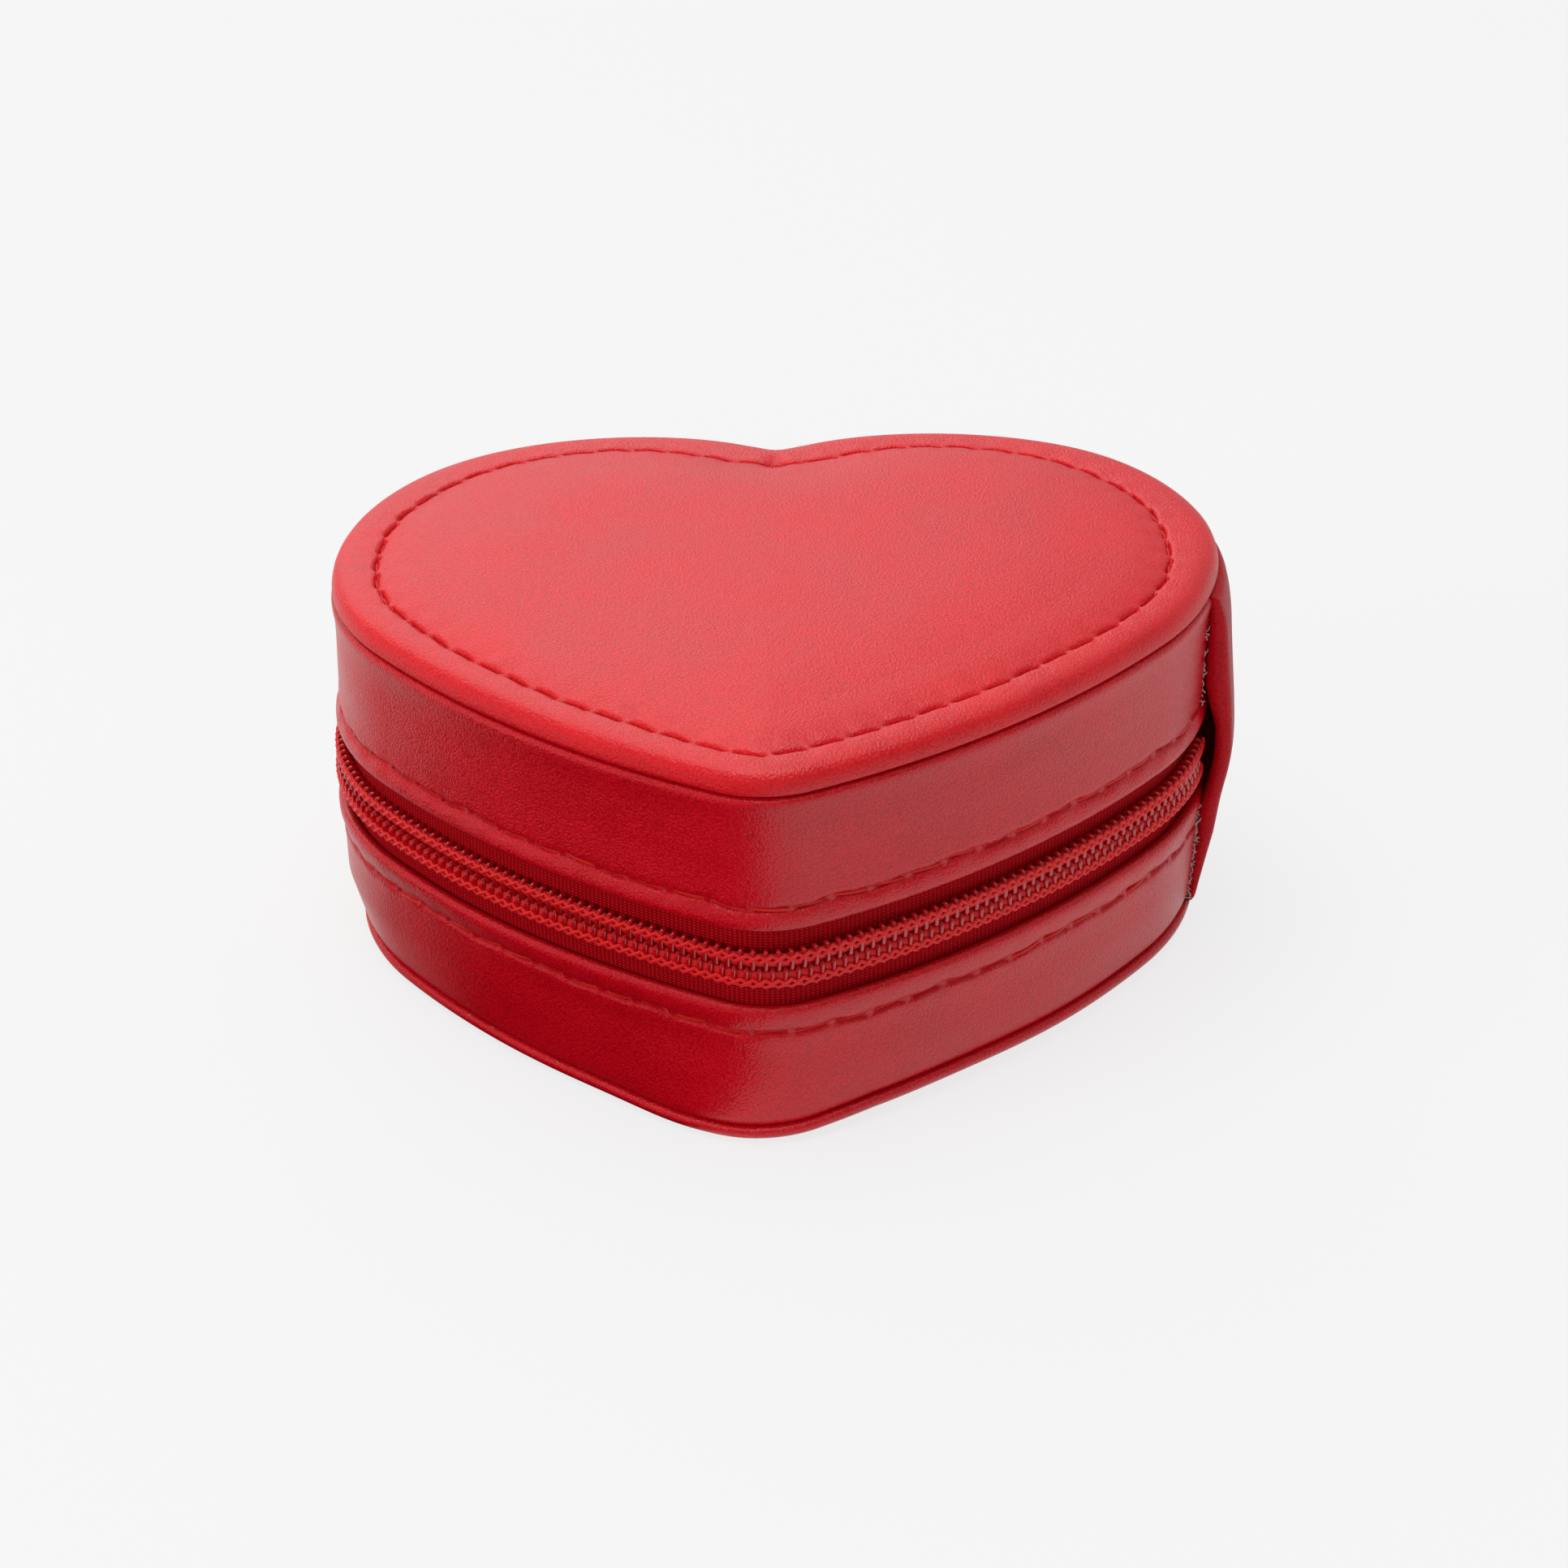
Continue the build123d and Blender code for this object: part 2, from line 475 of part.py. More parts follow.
pieces = {
    "lid_top_cover": lid_top_cover,
    "lid_foam_pad": lid_foam_pad,
    "lid_rim_cord": lid_rim_cord,
    "lid_top_board": lid_top_board,
    "lid_side_band": lid_side_band,
    "lid_wall_board": lid_wall_board,
    "lid_ceiling_lining": lid_ceiling_lining,
    "lid_wall_lining": lid_wall_lining,
    "mirror": mirror,
    "mirror_frame": mirror_frame,
    "sole": sole,
    "base_board": base_board,
    "base_side_band": base_side_band,
    "base_wall_board": base_wall_board,
    "base_floor_lining": base_floor_lining,
    "base_wall_lining": base_wall_lining,
    "cross_divider": cross_divider,
    "centre_divider": centre_divider,
    "zip_tape_lower": zip_tape_lower,
    "zip_tape_upper": zip_tape_upper,
    "zip_coil_lower": zip_coil_lower,
    "zip_coil_upper": zip_coil_upper,
    "spine_leaf_base": spine_leaf_base,
    "spine_leaf_lid": spine_leaf_lid,
    "zip_slider": zip_slider,
    "zip_pull": zip_pull,
}
for row, ring_roll in enumerate(ring_rolls, start=1):
    pieces[f"ring_roll_{row}"] = ring_roll

os.makedirs("parts", exist_ok=True)
for name, piece in pieces.items():
    piece.part.label = name
    export_step(piece.part, f"parts/{name}.step")
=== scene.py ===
import math
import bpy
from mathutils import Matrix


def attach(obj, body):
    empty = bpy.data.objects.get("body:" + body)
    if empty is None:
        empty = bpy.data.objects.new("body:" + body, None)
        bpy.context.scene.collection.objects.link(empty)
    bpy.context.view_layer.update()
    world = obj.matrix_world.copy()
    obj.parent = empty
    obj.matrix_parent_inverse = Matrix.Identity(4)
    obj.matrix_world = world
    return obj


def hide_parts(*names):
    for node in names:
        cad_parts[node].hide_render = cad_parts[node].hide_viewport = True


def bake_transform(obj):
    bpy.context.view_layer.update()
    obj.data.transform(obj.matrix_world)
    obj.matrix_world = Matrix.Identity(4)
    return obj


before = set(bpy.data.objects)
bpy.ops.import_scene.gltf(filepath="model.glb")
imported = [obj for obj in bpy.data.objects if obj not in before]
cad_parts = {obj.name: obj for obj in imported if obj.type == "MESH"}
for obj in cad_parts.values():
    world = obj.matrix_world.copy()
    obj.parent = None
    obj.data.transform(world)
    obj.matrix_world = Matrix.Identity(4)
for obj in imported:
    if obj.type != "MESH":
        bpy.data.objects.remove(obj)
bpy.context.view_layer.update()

from types import SimpleNamespace

import bpy
import numpy as np
from mathutils import Matrix, Vector

# Sole: the leathercloth bottom of the case, turned up round the base board into a beaded edge.
# It is one skin swept round the heart, which is six tangent arcs, and closed over the board.
MM = 0.001
LOBE_SPREAD, LOBE_Y, LOBE_RADIUS = 18.3, 9.9, 31.3
TIP_Y, TIP_RADIUS = -30.0, 11.2
SIDE_RADIUS, NOTCH_RADIUS = 108.0, 10.2
SPINE_CENTRE = 16.0
PANEL_MIDDLE = (0.0, 4.0)


def heart_arcs():
    """Arcs of the wall's outer face, anticlockwise from the spine: centre, radius, start, sweep, side."""
    apart = math.hypot(LOBE_SPREAD, LOBE_Y - TIP_Y)
    tip_reach, lobe_reach = SIDE_RADIUS - TIP_RADIUS, SIDE_RADIUS - LOBE_RADIUS
    along = (tip_reach**2 - lobe_reach**2 + apart**2) / (2 * apart)
    across = math.sqrt(tip_reach**2 - along**2)
    side_x = (LOBE_SPREAD * along - (LOBE_Y - TIP_Y) * across) / apart
    side_y = TIP_Y + ((LOBE_Y - TIP_Y) * along + LOBE_SPREAD * across) / apart
    notch_y = LOBE_Y + math.sqrt((LOBE_RADIUS + NOTCH_RADIUS) ** 2 - LOBE_SPREAD**2)
    tip = math.degrees(math.atan2(TIP_Y - side_y, -side_x))
    start = math.degrees(math.atan2(LOBE_Y - side_y, LOBE_SPREAD - side_x))
    end = math.degrees(math.atan2(notch_y - LOBE_Y, -LOBE_SPREAD))
    return [
        ((LOBE_SPREAD, LOBE_Y), LOBE_RADIUS, SPINE_CENTRE, end - SPINE_CENTRE, 1),
        ((0, notch_y), NOTCH_RADIUS, end - 180, 180 - 2 * end, -1),
        ((-LOBE_SPREAD, LOBE_Y), LOBE_RADIUS, 180 - end, end - start, 1),
        ((-side_x, side_y), SIDE_RADIUS, 180 - start, start - tip, 1),
        ((0, TIP_Y), TIP_RADIUS, 180 - tip, 180 + 2 * tip, 1),
        ((side_x, side_y), SIDE_RADIUS, tip, start - tip, 1),
        ((LOBE_SPREAD, LOBE_Y), LOBE_RADIUS, start, SPINE_CENTRE - start, 1),
    ]


HEART = heart_arcs()
HEART_LENGTH = sum(math.radians(abs(arc[3])) * arc[1] for arc in HEART)


def walk_heart(count, start=0.0, end=HEART_LENGTH, whole=True):
    """Evenly spaced stations along the wall's face, in millimetres from the spine's middle."""
    spots = np.linspace(start, end, count, endpoint=not whole)
    centre, way = np.zeros((count, 2)), np.zeros((count, 2))
    radius, side = np.zeros(count), np.zeros(count)
    begun = 0.0
    for (cx, cy), r, first, sweep, outside in HEART:
        length = math.radians(abs(sweep)) * r
        here = (spots >= begun - 1e-9) & (spots <= begun + length + 1e-9)
        turn = np.radians(first + sweep * (spots[here] - begun) / length)
        centre[here] = (cx, cy)
        radius[here] = r
        side[here] = outside
        way[here] = np.stack([np.cos(turn), np.sin(turn)], 1)
        begun += length
    return SimpleNamespace(spots=spots, centre=centre, radius=radius, way=way, side=side)


def row(walk, grow, level, share=1.0):
    """Points of one course round the heart: `grow` outside the wall's face, at a level, in metres."""
    reach = walk.radius * share + walk.side * grow
    flat = walk.centre * share + walk.way * np.broadcast_to(reach, walk.spots.shape)[:, None]
    return np.column_stack([flat, np.broadcast_to(level, walk.spots.shape)]) * MM


def lobe_spot(angle):
    """Distance along the heart to a direction on the right lobe, in degrees from +X."""
    spot = math.radians(angle - SPINE_CENTRE) * LOBE_RADIUS
    return spot if spot >= 0 else HEART_LENGTH + spot


NOTCH_SPOT = (
    math.radians(HEART[0][3]) * LOBE_RADIUS + math.radians(abs(HEART[1][3])) * NOTCH_RADIUS / 2
)
TIP_SPOT = NOTCH_SPOT + HEART_LENGTH / 2
LEFT_LOBE_SPOT = 2 * NOTCH_SPOT - lobe_spot(0)
LEFT_CORNER_SPOT = 2 * NOTCH_SPOT - lobe_spot(48)


def swell(spots, middle, spread):
    """Soft swell along the heart: 1 at its middle, faded out over about two spreads to each side."""
    gap = (spots - middle + HEART_LENGTH / 2) % HEART_LENGTH - HEART_LENGTH / 2
    return np.exp(-((gap / spread) ** 2))


def lean(spots, level):
    """How far the soft wall stands off its drawn line: full at the left lobe, the back corners and beside
    the notch, drawn in at the notch's middle and the right foot."""
    bulge = np.interp(level, (0, 2.6, 8, 17.4, 22.2, 27, 43), (0.0, 0.2, 1, 1, 0.9, 0.7, 0.2))
    flank = np.interp(level, (2.6, 17.4, 22.2, 27, 43), (0, 1, 0.8, 0.45, 0))
    rim = np.interp(level, (27, 40, 43.4), (0, 0.6, 1))
    foot = np.interp(level, (0, 2.6, 12), (1, 1, 0))
    return (
        1.8 * swell(spots, LEFT_LOBE_SPOT, 24) * bulge + 0.7 * swell(spots, LEFT_LOBE_SPOT + 36, 20) * flank
        + 1.2 * swell(spots, lobe_spot(48), 13) * rim + 1.0 * swell(spots, lobe_spot(12), 13) * rim
        + (0.2 + 0.8 * swell(spots, LEFT_CORNER_SPOT, 15)) * rim
        + (1.3 * swell(spots, NOTCH_SPOT, 15) - 0.8 * swell(spots, NOTCH_SPOT, 2.2)) * rim
        + 0.9 * swell(spots, TIP_SPOT - 10, 8) * foot - 0.6 * swell(spots, TIP_SPOT + 24, 12) * foot
        - 0.8 * swell(spots, lobe_spot(-25), 26) * foot
    )


def soft_row(walk, grow, level):
    """Course of points on the soft wall."""
    return row(walk, grow + lean(walk.spots, level), level)


def inner_rows(inset, shares, level):
    """Courses across a heart-shaped panel: shares of a course inside the wall, drawn to the middle."""
    middle = np.array([*PANEL_MIDDLE, 0.0]) * MM
    flat = row(ROUND, -inset, 0.0) - middle
    return [middle + flat * share + (0, 0, level * MM) for share in shares]


def stand(name, data):
    """New object in the scene."""
    thing = bpy.data.objects.new(name, data)
    bpy.context.scene.collection.objects.link(thing)
    return thing


def skin(name, rows, finish, run=None, loop=False, first_pole=None, last_pole=None):
    """Closed quad skin over courses of points, with a wrap map in metres along and across the courses."""
    rows = [np.asarray(points, float) for points in rows]
    count, depth = len(rows[0]), len(rows)
    points = np.concatenate(rows)
    faces, across = [], [0.0]
    for below, above in zip(rows, rows[1:] + rows[:1]):
        across.append(across[-1] + float(np.linalg.norm(above - below, axis=1).mean()))
    if run is None:
        run = np.append(0, np.cumsum(np.linalg.norm(np.roll(rows[0], -1, 0) - rows[0], axis=1)))
    wrap = []
    for j in range(depth if loop else depth - 1):
        k = (j + 1) % depth
        for i in range(count):
            n = (i + 1) % count
            faces.append((j * count + i, j * count + n, k * count + n, k * count + i))
            wrap += [(run[i], across[j]), (run[i + 1], across[j])]
            wrap += [(run[i + 1], across[j + 1]), (run[i], across[j + 1])]
    for pole, j, order in ((first_pole, 0, 1), (last_pole, depth - 1, -1)):
        if pole is None:
            continue
        points = np.vstack([points, np.array(pole) * MM])
        for i in range(count):
            n = (i + 1) % count
            rim = (j * count + n, j * count + i)[::order]
            faces.append((len(points) - 1, *rim))
            wrap += [(run[i], across[j])] * 3
    corners = np.array([face[:3] for face in faces] + [(f[0], f[2], f[3]) for f in faces if len(f) == 4])
    a, b, c = points[corners[:, 0]], points[corners[:, 1]], points[corners[:, 2]]
    mesh = bpy.data.meshes.new(name)
    mesh.from_pydata(points.tolist(), [], faces)
    layer = mesh.uv_layers.new(name="wrap")
    layer.data.foreach_set("uv", np.array(wrap, np.float32).ravel())
    if np.einsum("ij,ij->i", a, np.cross(b, c)).sum() < 0:
        mesh.flip_normals()
    mesh.shade_smooth()
    mesh.materials.append(finish)
    return stand(name, mesh)


def feed(tree, socket, value):
    """Links an input to a socket or to a node's first output, or sets its plain value."""
    if isinstance(value, bpy.types.Node):
        value = [s for s in value.outputs if s.enabled][0]
    if isinstance(value, bpy.types.NodeSocket):
        tree.links.new(value, socket)
    else:
        socket.default_value = value


def fill(tree, node, **values):
    """Feeds a node's inputs by name."""
    for key, value in values.items():
        feed(tree, [s for s in node.inputs if s.enabled and s.name == key.replace("_", " ")][0], value)


def add(tree, kind, **settings):
    """New node of a tree: its own properties are set first, then the other settings feed its inputs."""
    node = tree.nodes.new(kind)
    own = {key: value for key, value in settings.items() if hasattr(node, key)}
    for key, value in own.items():
        setattr(node, key, value)
    fill(tree, node, **{key: value for key, value in settings.items() if key not in own})
    return node


def maths(tree, operation, *values, **settings):
    """Maths node over nodes, sockets and plain numbers."""
    node = add(tree, "ShaderNodeMath", operation=operation, **settings)
    for value, socket in zip(values, node.inputs):
        feed(tree, socket, value)
    return node


def noise(tree, **settings):
    """Noise over the piece's own coordinates."""
    place = add(tree, "ShaderNodeTexCoord").outputs["Object"]
    return add(tree, "ShaderNodeTexNoise", Vector=place, **settings)


def mix_colours(tree, factor, first, second):
    """Colour mixed between two colours by a varying value."""
    return add(tree, "ShaderNodeMix", data_type="RGBA", Factor=factor, A=(*first, 1), B=(*second, 1))


def value_range(tree, source, low, high, start=0.0, end=1.0):
    """Varying value stretched from one range to another."""
    limits = {"From_Min": start, "From_Max": end, "To_Min": low, "To_Max": high}
    return add(tree, "ShaderNodeMapRange", Value=source, **limits)


def new_finish(name):
    """New material; gives it, its tree and its shader."""
    finish = bpy.data.materials.new(name)
    finish.use_nodes = True
    return finish, finish.node_tree, finish.node_tree.nodes["Principled BSDF"]


def new_tree(name, kind, inputs, outputs):
    """Node tree with named inputs and outputs; gives the tree, its input and its output node."""
    tree = bpy.data.node_groups.new(name, kind)
    for way, sockets in (("INPUT", inputs), ("OUTPUT", outputs)):
        for label, sort in sockets.items():
            tree.interface.new_socket(label, in_out=way, socket_type="NodeSocket" + sort)
    return tree, add(tree, "NodeGroupInput"), add(tree, "NodeGroupOutput")


def leather_grain():
    """Shared grain of the leathercloth: small rounded pebbles, and slow mottling of the finish."""
    group, start, end = new_tree(
        "leather_grain", "ShaderNodeTree", {"Pebble Size": "Float"}, {"Height": "Float", "Mottle": "Float"}
    )
    place = add(group, "ShaderNodeTexCoord").outputs["Object"]
    per_pebble = maths(group, "DIVIDE", 1.0, start)
    pebbles = add(
        group, "ShaderNodeTexVoronoi", feature="SMOOTH_F1", Vector=place, Scale=per_pebble,
        Smoothness=0.7, Randomness=1.0,
    )
    domes = value_range(group, pebbles.outputs["Distance"], 0.6, 0.0, 0.1, 0.7)
    pores = noise(group, Scale=maths(group, "MULTIPLY", per_pebble, 1.4), Detail=2.0, Roughness=0.6)
    clouds = noise(group, Scale=95.0, Detail=4.0, Roughness=0.55)
    height = maths(group, "MULTIPLY_ADD", pores, 0.6, domes)
    fill(group, end, Height=height, Mottle=value_range(group, clouds, 0.0, 1.0, 0.3, 0.7))
    return group


LEATHER_GRAIN = leather_grain()


def leathercloth(name, deep, bright, roughness=0.34, specular=0.5, streaks=0.0):
    """Red leathercloth: satin coating over a fine pressed grain, with painted shade in its pores and faint
    ripples along the cloth.
    """
    finish, tree, coat = new_finish(name)
    surface = add(tree, "ShaderNodeGroup", node_tree=LEATHER_GRAIN, Pebble_Size=0.00027)
    height, mottle = surface.outputs["Height"], surface.outputs["Mottle"]
    # Colour follows the grain's height: pores and gaps between pebbles are painted darker as painted shade,
    # pebble tops lighter; the mottle is the cloth's own uneven tone.
    shade = maths(tree, "MULTIPLY_ADD", mottle, 0.25, value_range(tree, height, 0.0, 0.75, 0.3, 0.95))
    bump = add(tree, "ShaderNodeBump", Strength=1.0, Distance=0.00007, Height=height)
    if streaks:
        wrap = add(tree, "ShaderNodeUVMap", uv_map="wrap")
        stretch = add(tree, "ShaderNodeMapping", Vector=wrap, Scale=(45.0, 260.0, 1.0))
        lines = add(tree, "ShaderNodeTexNoise", Vector=stretch, Scale=1.0, Detail=0.0)
        ripples = add(tree, "ShaderNodeBump", Strength=streaks, Distance=0.0006, Height=lines)
        fill(tree, bump, Normal=ripples)
    fill(
        tree, coat, Base_Color=mix_colours(tree, shade, deep, bright), Normal=bump,
        Roughness=value_range(tree, mottle, roughness - 0.03, roughness + 0.04), Specular_IOR_Level=specular,
    )
    return finish


ROUND = walk_heart(760)
WRAP = np.append(ROUND.spots, HEART_LENGTH) * MM


def soft_rows(profile):
    """Courses round the soft wall, from pairs of growth and level."""
    return [soft_row(ROUND, grow, level) for grow, level in profile]


def panel(name, rows, finish, first, last):
    """Heart-shaped skin, closed at the middle of its first and its last face."""
    first, last = (*PANEL_MIDDLE, first), (*PANEL_MIDDLE, last)
    return skin(name, rows, finish, WRAP, first_pole=first, last_pole=last)


PANEL_SHARES = (0.15, 0.4, 0.65, 0.85, 1.0)
PANEL_INSET, SOLE_INSIDE = 7.0, 1.02
SOLE_LEATHER = leathercloth("sole_leathercloth", (0.44, 0.001, 0.006), (0.74, 0.004, 0.016))
lift_spots = (0, 30, 60, TIP_SPOT - 6, TIP_SPOT + 12, HEART_LENGTH)
FOOT_LIFT = np.interp(ROUND.spots, lift_spots, (1.0, 0.3, 0.0, 0.0, 1.0, 1.0))
sole_rows = inner_rows(PANEL_INSET, PANEL_SHARES, 0.0)
for grow, level, rise in (
    (-4.0, 0.0, 0.0), (-2.2, 0.0, 0.08), (-1.3, 0.02, 0.3), (-0.6, 0.1, 0.7), (-0.1, 0.3, 0.9),
    (0.16, 0.6, 0.97), (0.26, 0.95, 1.0), (0.2, 1.25, 1.0), (0.02, 1.45, 1.0), (-0.3, 1.55, 1.0),
    (-0.7, 1.58, 1.0), (-1.0, 1.56, 1.0), (-1.05, 1.4, 1.0), (-1.05, 1.05, 0.0),
):
    sole_rows.append(soft_row(ROUND, grow, level + rise * FOOT_LIFT))
sole_rows += inner_rows(PANEL_INSET, PANEL_SHARES[::-1], SOLE_INSIDE)
sole = panel("sole_skin", sole_rows, SOLE_LEATHER, 0.0, SOLE_INSIDE)
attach(sole, "base")
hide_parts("sole")

# Boards: greyboard floor, walls and lid panel that stiffen the case, glued between cloth and lining.
# Three solids keep their shape; the floor board is drawn again, cut to the soft foot of the wall.


def mottled_finish(name, deep, bright, roughness, grain, relief=None, **plain):
    """Finish whose colour, roughness and relief follow one noise; plain values go on the shader."""
    finish, tree, shader = new_finish(name)
    mottle = noise(tree, **grain)
    if relief:
        plain["Normal"] = add(tree, "ShaderNodeBump", Strength=relief[0], Distance=relief[1], Height=mottle)
    fill(
        tree, shader, Base_Color=mix_colours(tree, mottle, deep, bright),
        Roughness=value_range(tree, mottle, *roughness), **plain,
    )
    return finish


def dress(finish, *nodes):
    """Gives a finish to solids that keep their shape."""
    for node in nodes:
        for place_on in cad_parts[node].material_slots:
            place_on.material = finish


GREYBOARD = mottled_finish(
    "greyboard", (0.24, 0.17, 0.11), (0.44, 0.34, 0.23), (0.8, 0.95),
    {"Scale": 1400.0, "Detail": 5.0, "Roughness": 0.7}, relief=(0.3, 0.0001),
)
dress(GREYBOARD, "base_wall_board", "lid_top_board", "lid_wall_board")
BOARD_UNDER, BOARD_TOP = 1.04, 2.79
board_rows = inner_rows(PANEL_INSET, PANEL_SHARES, BOARD_UNDER)
board_rows += soft_rows((
    (-1.3, BOARD_UNDER), (-1.16, 1.1), (-1.12, 1.3), (-1.12, 2.55), (-1.16, 2.74), (-1.3, BOARD_TOP),
))
board_rows += inner_rows(PANEL_INSET, PANEL_SHARES[::-1], BOARD_TOP)
floor_board = panel("floor_board", board_rows, GREYBOARD, BOARD_UNDER, BOARD_TOP)
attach(floor_board, "base")
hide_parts("base_board")

# Base side band: leathercloth wrapped round the base, rolled over at the top and stitched below it.
# The seam's thread draws the cloth in, so a crease runs round the stitch line between soft swells.
BASE_HEM, BASE_HEM_DEPTH, BASE_STITCH_LEVEL = 17.4, 3.4, 14.0
HEM_STITCHES = 62
BAND_LEATHER = leathercloth(
    "band_leathercloth", (0.44, 0.001, 0.006), (0.76, 0.004, 0.016), roughness=0.31, streaks=0.3
)


def seam_beat(line, stitches):
    """Swell between needle holes along a seam: 1 at the middle of a stitch and 0 at its holes."""
    steps = np.linalg.norm(np.roll(line, -1, 0) - line, axis=1)
    length = np.append(0, np.cumsum(steps)[:-1]) / steps.sum()
    return 0.5 + 0.5 * np.cos(2 * np.pi * length * stitches), length


def hem_profile(edge, inward, stitch, beat, drift):
    """Courses of a band near its hem: crease at the stitch line, rolled edge and return inside the wall."""
    hole = np.exp(-((beat / 0.16) ** 2))
    crease = -0.6 + 0.46 * hole
    pulled = drift - inward * 0.14 * beat
    roll = stitch - 0.55
    flat = 0 * beat
    return [
        (flat, edge + inward * (stitch + 2.2)),
        (0.03 + 0.03 * beat, edge + inward * (stitch + 1.2)),
        (0.04 + 0.05 * beat, edge + inward * (stitch + 0.72) + 0.5 * pulled),
        (-0.06 + 0.09 * beat, edge + inward * (stitch + 0.42) + pulled),
        (0.7 * crease, edge + inward * (stitch + 0.24) + pulled),
        (crease, edge + inward * stitch + drift),
        (0.75 * crease, edge + inward * (stitch - 0.2) + drift),
        (-0.18 + 0.16 * beat, edge + inward * (stitch - 0.36) + drift),
        (0.02 + 0.14 * beat, edge + inward * roll + 0.5 * drift),
        (0.22 + 0.08 * beat, edge + inward * roll * 0.8),
        (0.36 + 0.04 * beat, edge + inward * roll * 0.6),
        (0.43 + 0.01 * beat, edge + inward * roll * 0.42),
        (0.43 + flat, edge + inward * roll * 0.28),
        (0.34 + flat, edge + inward * roll * 0.15),
        (0.14 + flat, edge + inward * roll * 0.05),
        (-0.15 + flat, edge + flat),
        (-0.6 + flat, edge + inward * 0.05 + flat),
        (-0.95 + flat, edge + inward * 0.3 + flat),
    ]


base_beat, base_length = seam_beat(soft_row(ROUND, 0.0, BASE_STITCH_LEVEL), HEM_STITCHES)
base_drift = 0.14 * np.sin(base_length * 2 * np.pi * 17) + 0.10 * np.sin(base_length * 2 * np.pi * 41 + 1.0)
band_foot = 1.7 + FOOT_LIFT
band_rows = soft_rows((grow, band_foot + rise) for grow, rise in (
    (-0.98, -0.3), (-0.75, -0.15), (-0.5, 0.12), (-0.25, 0.45), (-0.09, 0.9), (0.0, 1.5),
))
band_rows += soft_rows(((0.02, 5.0), (0.03, 6.5), (0.03, 8.0), (0.02, 9.5), (0.0, 10.8)))
band_rows += soft_rows(hem_profile(BASE_HEM, -1, BASE_HEM_DEPTH, base_beat, base_drift))
band_rows += soft_rows((-1.0, level) for level in (14.0, 10.0, 6.0, 3.0))
base_band = skin("base_band_skin", band_rows, BAND_LEATHER, WRAP, loop=True)
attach(base_band, "base")
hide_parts("base_side_band")

# Hem stitches of the base: one row of lockstitch in orange-red thread, pulled down into the crease.
# Each stitch is a short bowed thread, set by the row's tree along the seam and slanted a little.
STITCH_THREAD = mottled_finish(
    "stitch_thread", (0.46, 0.004, 0.005), (0.78, 0.022, 0.014), (0.4, 0.6),
    {"Scale": 5200.0, "Detail": 2.0}, relief=(0.4, 0.00008), Specular_IOR_Level=0.35,
)


def seam_tree(name, count, *lengths):
    """Geometry tree that runs along a seam; its inputs are a count, lengths and how the shapes are laid."""
    inputs = {"Geometry": "Geometry", count: "Int", **dict.fromkeys(lengths, "Float")}
    inputs.update({"Sink": "Float", "Seed": "Int", "Thread": "Material"})
    return new_tree(name, "GeometryNodeTree", inputs, {"Geometry": "Geometry"})


def vector(tree, **parts):
    """Vector from varying parts."""
    return add(tree, "ShaderNodeCombineXYZ", **parts)


def along_seam(tree, start, count, shape, lean_angle, end):
    """Sets a shape on evenly spaced points of the seam, x along it and z out of the cloth."""
    given = start.outputs
    line = add(tree, "GeometryNodeMeshToCurve", Mesh=given["Geometry"])
    even = add(tree, "GeometryNodeResampleCurve", mode="COUNT", Curve=line, Count=given[count])
    facing = add(tree, "GeometryNodeInputNamedAttribute", data_type="FLOAT_VECTOR", Name="out")
    upright = add(tree, "FunctionNodeAlignRotationToVector", axis="Z", pivot_axis="AUTO", Vector=facing)
    turned = add(
        tree, "FunctionNodeAlignRotationToVector", axis="X", pivot_axis="Z", Rotation=upright,
        Vector=add(tree, "GeometryNodeInputTangent"),
    )
    turn = add(tree, "FunctionNodeEulerToRotation", Euler=vector(tree, Z=lean_angle))
    tilt = add(tree, "FunctionNodeRotateRotation", rotation_space="LOCAL", Rotation=turned, Rotate_By=turn)
    depth = add(
        tree, "FunctionNodeRandomValue", data_type="FLOAT_VECTOR", Min=(0, 0, 0),
        Max=vector(tree, Z=given["Sink"]), Seed=given["Seed"],
    )
    placed = add(tree, "GeometryNodeInstanceOnPoints", Points=even, Instance=shape, Rotation=tilt)
    sunk = add(tree, "GeometryNodeTranslateInstances", Instances=placed, Translation=depth)
    real = add(tree, "GeometryNodeRealizeInstances", Geometry=sunk)
    smooth = add(tree, "GeometryNodeSetShadeSmooth", Geometry=real)
    finished = add(tree, "GeometryNodeSetMaterial", Geometry=smooth, Material=given["Thread"])
    fill(tree, end, Geometry=finished)


def wire(tree, radius, curve, sides, caps):
    """Round wire swept along a curve."""
    section = add(tree, "GeometryNodeCurvePrimitiveCircle", Resolution=sides, Radius=radius)
    return add(tree, "GeometryNodeCurveToMesh", Curve=curve, Profile_Curve=section, Fill_Caps=caps)


def bowed_thread(tree, radius, first, top, last, steps, sides):
    """Thread along a bow, closed at its ends."""
    bow = add(
        tree, "GeometryNodeCurveQuadraticBezier", Resolution=steps, Start=first, Middle=top, End=last
    )
    return wire(tree, radius, bow, sides, True)


